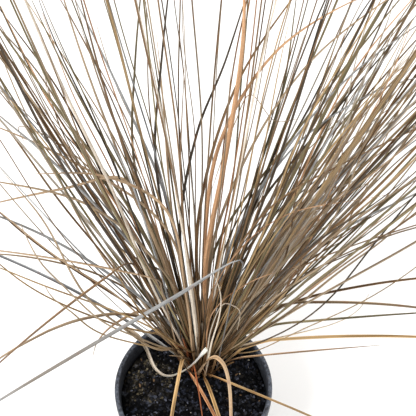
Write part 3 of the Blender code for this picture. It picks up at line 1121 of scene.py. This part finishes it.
STRAYS: dict[str, Stray] = {
    "bleached_upright": Stray(
        ((5, 25, 100), (0, 25, 210), (-10, 30, 340)),
        3.4,
        LooseLook(Shade.BLEACHED, 24, 0, 25, 4, light=0.95),
    ),
    "mottled_upright": Stray(
        ((10, 20, 100), (10, 20, 180), (5, 20, 260)),
        2.2,
        LooseLook(Shade.DARK, 44, 0, 60, 2, light=0.8),
    ),
    "cream_curve": Stray(
        ((10, 15, 100), (15, 10, 165), (22, 8, 225), (15, 5, 275)),
        1.9,
        LooseLook(Shade.BLEACHED, 30, 0, 40, 2),
    ),
    "pale_hook": Stray(
        ((10, 15, 100), (15, 15, 180), (25, 15, 215), (35, 15, 205), (35, 15, 175)),
        1.3,
        LooseLook(Shade.BLEACHED, 30, 0, 90, 4),
    ),
    "orange_broad": Stray(
        ((10, 40, 100), (10, 60, 195), (25, 85, 305), (35, 105, 400), (35, 120, 460)),
        4.2,
        LooseLook(Shade.ORANGE, 20, 0, 20, 5, light=1.1),
    ),
    "orange_branch": Stray(
        ((10, 45, 100), (10, 75, 225), (22, 95, 310), (60, 113, 382), (105, 121, 417), (125, 123, 424)),
        3.4,
        LooseLook(Shade.ORANGE, 22, 0, 30, 5, light=1.0, fade_from=0.6),
    ),
    "dark_middle": Stray(
        ((0, 50, 100), (-10, 80, 220), (5, 103, 310), (25, 120, 370), (45, 140, 445)),
        2.6,
        LooseLook(Shade.DARK, 30, 0, 30, 4, light=0.5),
    ),
    "dark_left": Stray(
        ((0, 50, 100), (-17, 75, 190), (-27, 100, 290), (-20, 120, 365), (-10, 145, 460)),
        2.4,
        LooseLook(Shade.DARK, 30, 0, 30, 4, light=0.55),
    ),
    "dark_far_left": Stray(
        ((-5, 50, 100), (-27, 75, 185), (-44, 100, 280), (-38, 120, 365), (-28, 145, 455)),
        2.3,
        LooseLook(Shade.OLIVE, 30, 0, 30, 4, light=0.5),
    ),
    "orange_left": Stray(
        ((0, 25, 100), (-5, 30, 205), (-20, 42, 300), (-60, 45, 330), (-110, 45, 333)),
        2.6,
        LooseLook(Shade.TAN, 26, 0, 60, 4, light=1.05),
    ),
    "brown_cross": Stray(
        ((10, 25, 100), (17, 30, 195), (55, 40, 300), (115, 45, 355), (190, 50, 400)),
        2.4,
        LooseLook(Shade.BROWN, 30, 0, 60, 4, light=0.8),
    ),
    "twisted_cross": Stray(
        ((10, 20, 100), (17, 27, 220), (65, 32, 302), (135, 33, 325)),
        1.5,
        LooseLook(Shade.ORANGE, 50, 0, 720, 2, light=0.75),
    ),
    "twisted_low": Stray(
        ((10, 15, 100), (17, 15, 205), (50, 15, 250), (75, 15, 265)),
        1.4,
        LooseLook(Shade.ORANGE, 50, 0, 720, 2, light=0.75),
    ),
    "tan_low_left": Stray(
        ((0, 20, 100), (-25, 20, 160), (-100, 20, 225), (-170, 20, 280)),
        2.0,
        LooseLook(Shade.STRAW, 34, 0, 50, 3, light=0.85),
    ),
    "cross_left": Stray(
        ((0, 30, 100), (-13, 40, 195), (-75, 50, 293), (-165, 52, 325)),
        2.4,
        LooseLook(Shade.TAUPE, 30, 0, 60, 4, light=0.9),
    ),
    "cross_high_left": Stray(
        ((0, 35, 100), (-20, 57, 255), (-90, 67, 325), (-160, 73, 365)),
        2.2,
        LooseLook(Shade.TAN, 30, 0, 60, 4, light=0.85),
    ),
    "steep_back": Stray(
        ((0, 55, 100), (-20, 95, 240), (-60, 130, 350), (-90, 152, 425)),
        2.6,
        LooseLook(Shade.GLAUCOUS_AND_SHEEN, 30, 0, 60, 4, light=0.8),
    ),
    "fan_low_right": Stray(
        ((15, 27, 100), (28, 30, 170), (87, 30, 247), (155, 32, 290), (200, 32, 308)),
        2.6,
        LooseLook(Shade.BROWN, 30, 0, 60, 4, light=0.9),
    ),
    "dropped_left": Stray(
        ((0, 30, 100), (-20, 47, 210), (-38, 58, 278), (-50, 62, 307), (-95, 61, 295), (-165, 57, 275)),
        2.8,
        LooseLook(Shade.TAN, 24, 0, 20, 5, light=0.95),
    ),
    "grey_long_left": Stray(
        ((0, 28, 100), (-22, 30, 165), (-95, 33, 268), (-165, 35, 317)),
        2.8,
        LooseLook(Shade.GLAUCOUS_AND_SHEEN, 30, 0, 30, 5, light=0.7),
    ),
    "grey_high_left": Stray(
        ((0, 35, 100), (-40, 50, 228), (-98, 63, 325), (-140, 70, 384)),
        2.4,
        LooseLook(Shade.GLAUCOUS_AND_SHEEN, 30, 0, 50, 5, light=0.8),
    ),
    "olive_left": Stray(
        ((0, 38, 100), (-40, 60, 255), (-100, 80, 384), (-128, 90, 450)),
        2.6,
        LooseLook(Shade.OLIVE, 30, 0, 50, 5, light=0.8),
    ),
    "curled_tip": Stray(
        ((0, 46, 100), (-48, 78, 243), (-95, 91, 310), (-123, 94, 325), (-121, 92, 312)),
        1.8,
        LooseLook(Shade.TAUPE, 30, 0, 90, 5, light=0.8),
    ),
    "tan_cross_high": Stray(
        ((10, 48, 100), (17, 73, 217), (77, 107, 370), (160, 124, 448)),
        2.8,
        LooseLook(Shade.TAUPE, 26, 0, 50, 5, light=1.1),
    ),
    "grey_cross_high": Stray(
        ((12, 50, 100), (35, 75, 225), (105, 102, 363), (175, 114, 430)),
        2.8,
        LooseLook(Shade.GLAUCOUS_AND_SHEEN, 26, 0, 50, 5, light=0.75),
    ),
    "olive_cross_high": Stray(
        ((10, 50, 100), (17, 73, 200), (80, 102, 320), (160, 132, 450)),
        2.8,
        LooseLook(Shade.OLIVE, 26, 0, 50, 5, light=0.8),
    ),
    "dark_cross_high": Stray(
        ((12, 50, 100), (34, 76, 212), (112, 108, 344), (165, 126, 424)),
        2.6,
        LooseLook(Shade.DARK, 26, 0, 50, 5, light=0.7),
    ),
    "brown_high": Stray(
        ((5, 50, 100), (5, 82, 232), (35, 110, 360), (92, 134, 458)),
        3.0,
        LooseLook(Shade.BROWN, 22, 0, 50, 5, light=0.9),
    ),
    "thread": Stray(
        ((15, 85, 265), (32, 100, 325), (42, 104, 348), (60, 100, 326), (77, 100, 327)),
        0.8,
        LooseLook(Shade.TAUPE, 40, 0, 90, 5),
    ),
    "grey_cross": Stray(
        ((10, 50, 100), (23, 67, 182), (72, 93, 300), (126, 104, 348), (195, 108, 376)),
        2.6,
        LooseLook(Shade.GLAUCOUS_AND_SHEEN, 30, 0, 60, 4, light=0.85),
    ),
}


@dataclass
class StrayLeaves:
    """The leaves that cross or stand apart from the sheaves, rooted between the shoots."""

    finish: bpy.types.Material
    per_span: int = 12
    sway: float = 0.7 * MM
    first_number: int = 51

    def build(self) -> bpy.types.Object:
        """Builds the leaves as one piece.

        Returns:
            The piece.
        """
        maker = MeshMaker()
        for k, (name, stray) in enumerate(STRAYS.items()):
            line = smooth_line([Vector(point) * MM for point in stray.path], self.per_span)
            line = kept_inside(wavy(line, random.Random(f"{SEED} {name}"), self.sway))
            upper = (line[-1] - line[0]).cross(Vector((1, 0, 0))).normalized()
            blade = stray.look.blade(line, upper, stray.width * MM, k + self.first_number)
            blade.add_to(maker, k, len(STRAYS))
        piece = maker.build("stray_leaves", self.finish)
        place_piece(piece)
        return piece


# --- crown, mix and pot ---------------------------------------------------------------------------


@dataclass
class MixSurface:
    """The top of the potting mix: a pressed bed with clods, a rise at the crown, and a dip at the wall."""

    level: float
    radius: float
    crown: Vector
    crown_reach: float
    clod: float = 2.2 * MM
    crown_rise: float = 2.5 * MM
    wall_dip: float = 1.2 * MM
    sunk: float = 0.6 * MM
    moss_at: Vector = field(default_factory=lambda: Vector((-0.038, 0.012, 0)))
    moss_reach: tuple[float, float] = (0.010, 0.027)

    def height(self, x: float, y: float) -> float:
        """Works out the bed's height at a place.

        Args:
            x: metres to the right of the pot's axis.
            y: metres behind it.

        Returns:
            The height over the pot's underside.
        """
        spot = Vector((x, y, 0))
        from_crown = (spot - self.crown).length
        rise = self.crown_rise * (1 - ramp(self.crown_reach * 0.8, self.crown_reach * 1.5, from_crown))
        coarse = noise.noise(spot * 90) * self.clod
        fine = noise.noise(spot * 300 + Vector((3, 1, 7))) * self.clod * 0.6
        edge = self.wall_dip * ramp(self.radius * 0.9, self.radius, spot.length)
        return self.level - self.sunk + rise + coarse + fine - edge

    def moss(self, x: float, y: float) -> float:
        """Works out how mossy the bed is at a place.

        Args:
            x: metres to the right of the pot's axis.
            y: metres behind it.

        Returns:
            A share from 0 to 1.
        """
        spot = Vector((x, y, 0))
        near = 1 - ramp(*self.moss_reach, (spot - self.moss_at).length)
        speckle = 0.5 + 1.6 * noise.noise(spot * 190)
        return max(0.0, min(1.0, near * (0.2 + speckle)))


@dataclass(frozen=True)
class Scatter:
    """One kind of loose bits: colours, number, length range in mm, proportions, roughness and least moss."""

    colours: tuple[str, ...]
    count: int
    size_mm: tuple[float, float]
    shape: tuple[float, float, float]
    roughness: float
    least_moss: float = 0


SCATTERS: dict[str, Scatter] = {
    "mix_crumbs": Scatter(
        ("#050506", "#0c0c0e", "#131317", "#100d0a"), 900, (1.0, 4.2), (1, 0.8, 0.7), 0.75
    ),
    # the clods' slate-blue colours also paint the sheen of damp clods
    "mix_clods": Scatter(
        ("#16181e", "#20222b", "#30333d", "#484b56"), 300, (1.2, 5.0), (1, 0.6, 0.4), 0.5
    ),
    "mix_bark": Scatter(
        ("#3a2c20", "#54402c", "#2a2018", "#6d563e", "#4a4640"), 70, (1.2, 4.2), (1, 0.45, 0.25), 0.8
    ),
    "mix_perlite": Scatter(
        ("#8e8b86", "#b3a892", "#9c8f78", "#a49c8a"), 14, (0.6, 2.2), (1, 0.85, 0.7), 0.9
    ),
    "mix_moss": Scatter(
        ("#3a352a", "#4e4737", "#6c6351", "#1e1c16"), 150, (0.8, 3.2), (1, 0.9, 0.5), 0.95, 0.25
    ),
}


@dataclass
class MixBed:
    """The potting mix: the bed, and the crumbs, bark, perlite and moss that lie on it."""

    surface: MixSurface
    bottom: float
    bottom_radius: float
    rings: int = 44
    spokes: int = 150
    crust_colour: str = "#6c6453"
    bits_a_row: int = 26

    def build(self) -> list[bpy.types.Object]:
        """Builds the bed and its loose bits.

        Returns:
            The pieces, the bed first.
        """
        bed = self._bed()
        place_piece(bed, ["potting_mix"])
        pieces = [bed]
        for name, scatter in SCATTERS.items():
            bits = self._bits(name, scatter)
            place_piece(bits)
            pieces.append(bits)
        return pieces

    def _bed(self) -> bpy.types.Object:
        """Builds the bed, a closed body with a fine top.

        Returns:
            The piece.
        """
        maker = MeshMaker()
        surface = self.surface
        plain = (0.0, 0.0, 0.0, 1.0)
        turns = [2 * math.pi * i / self.spokes for i in range(self.spokes)]
        tops, sides = [], []
        for k in range(1, self.rings + 1):
            radius = surface.radius * k / self.rings
            ring = []
            for a in turns:
                x, y = radius * math.cos(a), radius * math.sin(a)
                colour = blend(plain, linear(self.crust_colour), surface.moss(x, y))
                ring.append(maker.add(Vector((x, y, surface.height(x, y))), colour, (0, 0, 0)))
            tops.append(ring)
        for share in (0.9, 0.5, 0.0):
            radius = self.bottom_radius + (surface.radius - self.bottom_radius) * share
            z = self.bottom + (surface.level - 2 * MM - self.bottom) * share
            spots = [Vector((radius * math.cos(a), radius * math.sin(a), z)) for a in turns]
            sides.append([maker.add(spot, plain, (0, 0, 0)) for spot in spots])
        centre = maker.add(Vector((0, 0, surface.height(0, 0))), plain, (0, 0, 0))
        maker.disc(centre, tops, Vector(), 0.38 / surface.radius, (0.5, 0.6))
        for k, (high, low) in enumerate(zip([tops[-1], *sides], sides)):
            v, w = 0.2 - k * 0.06, 0.14 - k * 0.06
            for i in range(self.spokes):
                j = (i + 1) % self.spokes
                left, right = i / self.spokes, (i + 1) / self.spokes
                corners = (high[i], low[i], low[j], high[j])
                maker.face(corners, ((left, v), (left, w), (right, w), (right, v)))
        maker.face(sides[-1][::-1], [(0.1 + 0.001 * i, 0.002) for i in range(self.spokes)])
        return maker.build("mix_bed", PeatMix().material(), None)

    def _bits(self, name: str, scatter: Scatter) -> bpy.types.Object:
        """Scatters loose bits over the bed.

        Args:
            name: the piece's name.
            scatter: what the bits are like.

        Returns:
            The piece.
        """
        chance = random.Random(f"{SEED} {name}")
        template = bmesh.new()
        bmesh.ops.create_icosphere(template, subdivisions=1, radius=0.5)
        shell = [vertex.co.copy() for vertex in template.verts]
        skin = [tuple(vertex.index for vertex in face.verts) for face in template.faces]
        template.free()
        maker = MeshMaker()
        rows = scatter.count // self.bits_a_row + 1
        step = 0.3 / self.bits_a_row
        for laid in range(scatter.count):
            x, y = self._free_spot(chance, scatter.least_moss)
            spread = scatter.size_mm[1] - scatter.size_mm[0]
            size = (chance.uniform(0, 1) ** 2 * spread + scatter.size_mm[0]) * MM
            spin = Matrix.Rotation(chance.uniform(0, 2 * math.pi), 3, "Z")
            spin = spin @ Matrix.Rotation(chance.uniform(-0.5, 0.5), 3, "X")
            middle = Vector((x, y, self.surface.height(x, y) + size * scatter.shape[2] * 0.2))
            colour = linear(chance.choice(scatter.colours))
            offset = Vector((chance.random(), chance.random(), chance.random())) * 20
            start = len(maker.points)
            for corner in shell:
                rough = 1 + 0.35 * noise.noise(corner * 2.6 + offset)
                scaled = corner * Vector(scatter.shape) * size * rough
                maker.add(middle + spin @ scaled, colour, (0, 0, 0))
            row, across = divmod(laid, self.bits_a_row)
            u, v = (across + 0.5) / self.bits_a_row, (row + 0.5) / rows
            for face in skin:
                places = [(u + shell[n].x * step, v + (shell[n].y + shell[n].z) * step * 0.5) for n in face]
                maker.face([start + n for n in face], places)
        return maker.build(name, LooseBit().material(name, scatter.roughness), 35)

    def _free_spot(self, chance: random.Random, least_moss: float) -> tuple[float, float]:
        """Picks a place on the bed beside the crown.

        Args:
            chance: the source of the place.
            least_moss: how mossy the bed is there at least.

        Returns:
            The place's x and y.
        """
        surface = self.surface
        while True:
            radius = surface.radius * 0.97 * math.sqrt(chance.random())
            angle = chance.uniform(0, 2 * math.pi)
            x, y = radius * math.cos(angle), radius * math.sin(angle)
            from_crown = (Vector((x, y, 0)) - surface.crown).length
            if surface.moss(x, y) >= least_moss and from_crown >= surface.crown_reach * 0.9:
                return x, y


STRIP_SHADES = {
    Shade.RUST: 8,
    Shade.BROWN: 30,
    Shade.TAN: 14,
    Shade.DARK: 26,
    Shade.ORANGE: 4,
    Shade.BLEACHED: 5,
    Shade.TAUPE: 13,
}


@dataclass
class Crown:
    """The crown: a mound of packed shoot bases, with strips of old sheaths round them."""

    centre: Vector
    radius: float
    low: float
    top: float
    rings: int = 14
    spokes: int = 64
    knob: float = 1.2 * MM
    strips: int = 150
    strip_steps: int = 10

    def build(self, finish: bpy.types.Material) -> list[bpy.types.Object]:
        """Builds the mound and its strips.

        Args:
            finish: the finish of the strips.

        Returns:
            The two pieces.
        """
        mound, strips = self._mound(), self._strips(finish)
        place_piece(mound, ["crown"])
        place_piece(strips)
        return [mound, strips]

    def _mound(self) -> bpy.types.Object:
        """Builds the mound, with knobs where shoots have broken off.

        Returns:
            The piece.
        """
        maker = MeshMaker()
        deep, middling, light = (linear(code) for code in ("#2a1d13", "#4e3826", "#6b4c32"))
        loops = []
        for k in range(1, self.rings + 1):
            share = k / self.rings
            radius = self.radius * share
            ring = []
            for i in range(self.spokes):
                a = 2 * math.pi * i / self.spokes
                x, y = self.centre.x + radius * math.cos(a), self.centre.y + radius * math.sin(a)
                knob = noise.noise(Vector((x, y, 0)) * 330) * self.knob * (1 - share**6)
                z = self.top - (self.top - self.low + 1 * MM) * share**3 + knob - 1 * MM
                pick = 0.5 + noise.noise(Vector((x, y, 9)) * 240)
                colour = blend(deep, middling, pick) if pick < 0.7 else blend(middling, light, pick)
                ring.append(maker.add(Vector((x, y, z)), colour, (0, 0, 0)))
            loops.append(ring)
        peak = Vector((self.centre.x, self.centre.y, self.top - 1 * MM))
        centre = maker.add(peak, middling, (0, 0, 0))
        maker.disc(centre, loops, self.centre, 0.48 / self.radius, (0.5, 0.5))
        maker.face(loops[-1][::-1], [(0.001 * i, 0.001) for i in range(self.spokes)])
        return maker.build("crown_mound", LooseBit(0.9).material("crown_fibre", 0.85), None)

    def _strips(self, finish: bpy.types.Material) -> bpy.types.Object:
        """Builds the old sheaths and leaf bases that stand and curl round the shoots.

        Args:
            finish: their finish.

        Returns:
            The piece.
        """
        chance = random.Random(f"{SEED} crown strips")
        maker = MeshMaker()
        for k in range(self.strips):
            angle = chance.uniform(0, 2 * math.pi)
            reach = self.radius * chance.uniform(0.2, 0.82)
            outward = Vector((math.cos(angle), math.sin(angle), 0))
            line = self._strip_line(angle, reach, chance)
            blade = Blade(
                line,
                -outward,
                chance.uniform(1.2, 3.6) * MM,
                chance.choices(list(STRIP_SHADES), list(STRIP_SHADES.values()))[0],
                fold=chance.uniform(15, 60),
                turn=chance.uniform(-50, 50),
                twist=chance.uniform(-60, 60),
                blunt=chance.uniform(2, 6),
                clasp=1.1,
                number=k + 1,
            )
            blade.add_to(maker, k, self.strips)
        return maker.build("crown_strips", finish)

    def _strip_line(self, angle: float, reach: float, chance: random.Random) -> list[Vector]:
        """The line of a strip that stands on the mound and curls.

        Args:
            angle: its place round the mound.
            reach: its distance from the mound's middle.
            chance: the source of its lean, bend and length.

        Returns:
            The points from foot to tip.
        """
        start = self.centre + Vector((math.cos(angle), math.sin(angle), 0)) * reach
        start.z = self.top - 3 * MM
        lean = math.radians(chance.uniform(-4, 14) + 20 * reach / self.radius)
        bend = math.radians(chance.uniform(-18, 20))
        swirl = chance.uniform(-0.6, 0.6)
        step = chance.uniform(14, 60) * MM / self.strip_steps
        line = [start]
        for k in range(self.strip_steps):
            share = (k + 0.5) / self.strip_steps
            facing, tilt = angle + swirl * share, lean + bend * share
            flat = math.sin(tilt)
            way = Vector((flat * math.cos(facing), flat * math.sin(facing), math.cos(tilt)))
            line.append(line[-1] + way * step)
        return line


@dataclass
class NurseryPot:
    """A round injection-moulded nursery pot: tapered wall, stepped rim, rounded foot and drain holes."""

    rim_radius: float
    base_radius: float
    height: float
    wall: float = 1.4 * MM
    rim_depth: float = 11 * MM
    rim_step: float = 2.2 * MM
    floor: float = 1.8 * MM
    drains: int = 6
    drain_radius: float = 4 * MM
    drain_circle: float = 31 * MM
    foot_round: float = 1.6 * MM
    lip_round: float = 0.9 * MM
    wall_steps: int = 8
    inner_steps: int = 6
    out_of_round: float = 0.25 * MM
    sides: int = 144

    def outline(self) -> list[tuple[float, float, float]]:
        """The turned outline from the underside's middle to the inner floor's middle.

        Returns:
            Radius, height and wear of each point.
        """
        shoulder = self.height - self.rim_depth
        top = self.rim_radius - self.rim_step

        def wall_at(z: float) -> float:
            """Outer radius of the wall at a height."""
            return self.base_radius + (top - self.base_radius) * z / shoulder

        base, lip, rim_top = self.base_radius, self.rim_radius, self.height
        inner_top = top - self.wall
        drain_inner = self.drain_circle - 2 * self.drain_radius
        drain_outer = self.drain_circle + 2 * self.drain_radius
        points = [
            (0.0, 0.0, 0.1),
            (drain_inner, 0.0, 0.1),
            (drain_outer, 0.0, 0.1),
            (base - 2.2 * MM, 0.0, 0.4),
            (base - 1.2 * MM, 0.15 * MM, 0.5),
            (base - 0.4 * MM, 0.6 * MM, 0.6),
            (base, self.foot_round, 0.5),
        ]
        for k in range(1, self.wall_steps + 1):
            z = self.foot_round + (shoulder - self.foot_round) * k / self.wall_steps
            points.append((wall_at(z), z, 0.25))
        points += [
            (lip - 0.5 * MM, shoulder + 0.2 * MM, 0.5),
            (lip - 0.1 * MM, shoulder + 0.7 * MM, 0.6),
            (lip, shoulder + 2 * MM, 0.5),
            (lip, rim_top - 1.6 * MM, 0.6),
            (lip - 0.2 * MM, rim_top - 0.7 * MM, 0.9),
            (lip - 0.8 * MM, rim_top - 0.1 * MM, 1.0),
            (lip - 1.4 * MM, rim_top, 1.0),
            (inner_top + 1.0 * MM, rim_top, 0.9),
            (inner_top + 0.4 * MM, rim_top - 0.2 * MM, 0.9),
            (inner_top, rim_top - self.lip_round, 0.6),
        ]
        for k in range(1, self.inner_steps + 1):
            z = rim_top - self.lip_round - (rim_top - self.lip_round - self.floor) * k / self.inner_steps
            points.append((min(inner_top, wall_at(z) - self.wall), z, 0.15))
        points += [(drain_outer, self.floor, 0.1), (drain_inner, self.floor, 0.1), (0.0, self.floor, 0.1)]
        return points

    def build(self, finish: bpy.types.Material) -> bpy.types.Object:
        """Builds the pot.

        Args:
            finish: the pot's finish.

        Returns:
            The piece.
        """
        maker = MeshMaker()
        rings: list[list[int]] = []
        white = (1.0, 1.0, 1.0, 1.0)
        outline = self.outline()
        lengths = [0.0]
        for a, b in zip(outline, outline[1:]):
            lengths.append(lengths[-1] + math.hypot(a[0] - b[0], a[1] - b[1]))
        for radius, z, wear_and_sheen in outline:
            turns = [2 * math.pi * k / self.sides for k in range(self.sides)] if radius else [0.0]
            ring = []
            for a in turns:
                warp = self.out_of_round * math.sin(2 * a + 0.7) * ramp(0.02, self.height, z)
                far = radius + warp if radius else 0
                spot = Vector((far * math.cos(a), far * math.sin(a), z))
                ring.append(maker.add(spot, white, (wear_and_sheen, 0, 0)))
            rings.append(ring)
        for k in range(len(rings) - 1):
            low, high = rings[k], rings[k + 1]
            v, w = lengths[k] / lengths[-1], lengths[k + 1] / lengths[-1]
            for i in range(self.sides):
                j = (i + 1) % self.sides
                u, x = i / self.sides, (i + 1) / self.sides
                if len(low) == 1:
                    maker.face((low[0], high[j], high[i]), ((u, v), (x, w), (u, w)))
                elif len(high) == 1:
                    maker.face((low[i], low[j], high[0]), ((u, v), (x, v), (u, w)))
                else:
                    maker.face((low[i], low[j], high[j], high[i]), ((u, v), (x, v), (x, w), (u, w)))
        piece = maker.build("pot_shell", finish, 50)
        self._drill(piece)
        place_piece(piece, ["pot"])
        return piece

    def _drill(self, piece: bpy.types.Object) -> None:
        """Cuts the drain holes through the floor.

        Args:
            piece: the pot, which is changed.
        """
        work = bmesh.new()
        for k in range(self.drains):
            angle = 2 * math.pi * (k + 0.5) / self.drains
            place = Vector((math.cos(angle), math.sin(angle), 0)) * self.drain_circle
            place.z = self.floor / 2
            bmesh.ops.create_cone(
                work,
                cap_ends=True,
                segments=28,
                radius1=self.drain_radius,
                radius2=self.drain_radius,
                depth=4 * self.floor,
                matrix=Matrix.Translation(place),
            )
        mesh = bpy.data.meshes.new("drain_cutter")
        work.to_mesh(mesh)
        work.free()
        cutter = bpy.data.objects.new("drain_cutter", mesh)
        bpy.context.scene.collection.objects.link(cutter)
        cut = piece.modifiers.new("drain", "BOOLEAN")
        cut.operation = "DIFFERENCE"
        cut.object = cutter
        graph = bpy.context.evaluated_depsgraph_get()
        drilled = bpy.data.meshes.new_from_object(piece.evaluated_get(graph))
        piece.modifiers.clear()
        piece.data = drilled
        bpy.data.objects.remove(cutter)


# --- studio ---------------------------------------------------------------------------------------


@dataclass
class Studio:
    """A plain pale floor, soft light all round with a broad lamp above, and the camera."""

    aim: Vector = field(default_factory=lambda: Vector((0.012, 0.045, 0.294)))
    distance: float = 0.72
    elevation: float = 52.6
    lens: float = 87.7
    surround: float = 0.85
    left_lamp: Vector = field(default_factory=lambda: Vector((-0.8, -0.8, 1.6)))
    right_lamp: Vector = field(default_factory=lambda: Vector((1.1, 0.2, 1.3)))
    lamp_power: float = 30

    def build(self) -> None:
        """Sets the floor, the lights and the camera."""
        self._floor()
        self._lights()
        self._camera()
        view = bpy.context.scene.view_settings
        view.view_transform = "Standard"
        view.look = "None"

    def _floor(self) -> None:
        """The pale floor, a broad disc."""
        work = bmesh.new()
        bmesh.ops.create_circle(work, cap_ends=True, segments=64, radius=12)
        mesh = bpy.data.meshes.new("studio_floor")
        work.to_mesh(mesh)
        work.free()
        # Matt white paper, which gives the eye an even ground with no grain.
        material, _, shader = new_finish("matt_paper")
        shader.inputs["Base Color"].default_value = linear("#f7f7f7")
        shader.inputs["Roughness"].default_value = 0.9
        mesh.materials.append(material)
        floor = bpy.data.objects.new("studio_floor", mesh)
        bpy.context.scene.collection.objects.link(floor)

    def _lights(self) -> None:
        """White surroundings, a broad lamp high on the left, and a weaker one on the right."""
        world = bpy.data.worlds.new("surround")
        world.use_nodes = True
        ground = world.node_tree.nodes["Background"]
        ground.inputs["Color"].default_value = linear("#fffdfa")
        ground.inputs["Strength"].default_value = self.surround
        bpy.context.scene.world = world
        for name, place, size, share in (
            ("lamp_left", self.left_lamp, 0.6, 1.0),
            ("lamp_right", self.right_lamp, 0.9, 0.45),
        ):
            light = bpy.data.lights.new(name, "AREA")
            light.shape = "DISK"
            light.size = size
            light.energy = self.lamp_power * share
            lamp = bpy.data.objects.new(name, light)
            lamp.location = place
            lamp.rotation_mode = "QUATERNION"
            lamp.rotation_quaternion = (self.aim - place).to_track_quat("-Z", "Y")
            bpy.context.scene.collection.objects.link(lamp)

    def _camera(self) -> None:
        """The camera, which looks down on the clump from the front."""
        pitch = math.radians(self.elevation)
        data = bpy.data.cameras.new("camera")
        data.lens = self.lens
        data.sensor_width = 36
        data.clip_start = 0.01
        camera = bpy.data.objects.new("camera", data)
        camera.location = self.aim + Vector((0, -math.cos(pitch), math.sin(pitch))) * self.distance
        camera.rotation_euler = (math.pi / 2 - pitch, 0, 0)
        bpy.context.scene.collection.objects.link(camera)
        bpy.context.scene.camera = camera


# --- the whole ------------------------------------------------------------------------------------


def main() -> None:
    """Builds the pot, the mix, the crown, the leaves and the studio, and reports each piece."""
    logging.basicConfig(level=logging.INFO, format="%(message)s")
    _, pot_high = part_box("pot")
    mix_low, mix_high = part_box("potting_mix")
    crown_low, crown_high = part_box("crown")
    middle = (crown_low + crown_high) / 2
    centre = Vector((middle.x, middle.y, 0))
    crown_radius = (crown_high.x - crown_low.x) / 2
    plastic = MouldedPolypropylene().material()
    pieces = [NurseryPot(pot_high.x, POT_BASE_RADIUS, pot_high.z).build(plastic)]
    surface = MixSurface(mix_high.z, mix_high.x, centre, crown_radius)
    pieces += MixBed(surface, mix_low.z, POT_BASE_RADIUS - WALL_AND_GAP).build()
    old_sheath = SedgeBlade(blotch_mm=2.0).material("old_sheath", 0.6)
    pieces += Crown(centre, crown_radius, crown_low.z, crown_high.z).build(old_sheath)
    bronze = SedgeBlade().material("sedge_blade", 0.45)
    for node in sorted(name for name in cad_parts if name.startswith("tiller_")):
        pieces.append(Tiller(node, bronze).build())
    for node, look in LOOSE_LOOKS.items():
        pieces.append(LooseLeaf(node, look, bronze).build())
    pieces.append(StrayLeaves(bronze).build())
    Studio().build()
    for piece in pieces:
        report(piece)


if __name__ == "__main__":
    main()
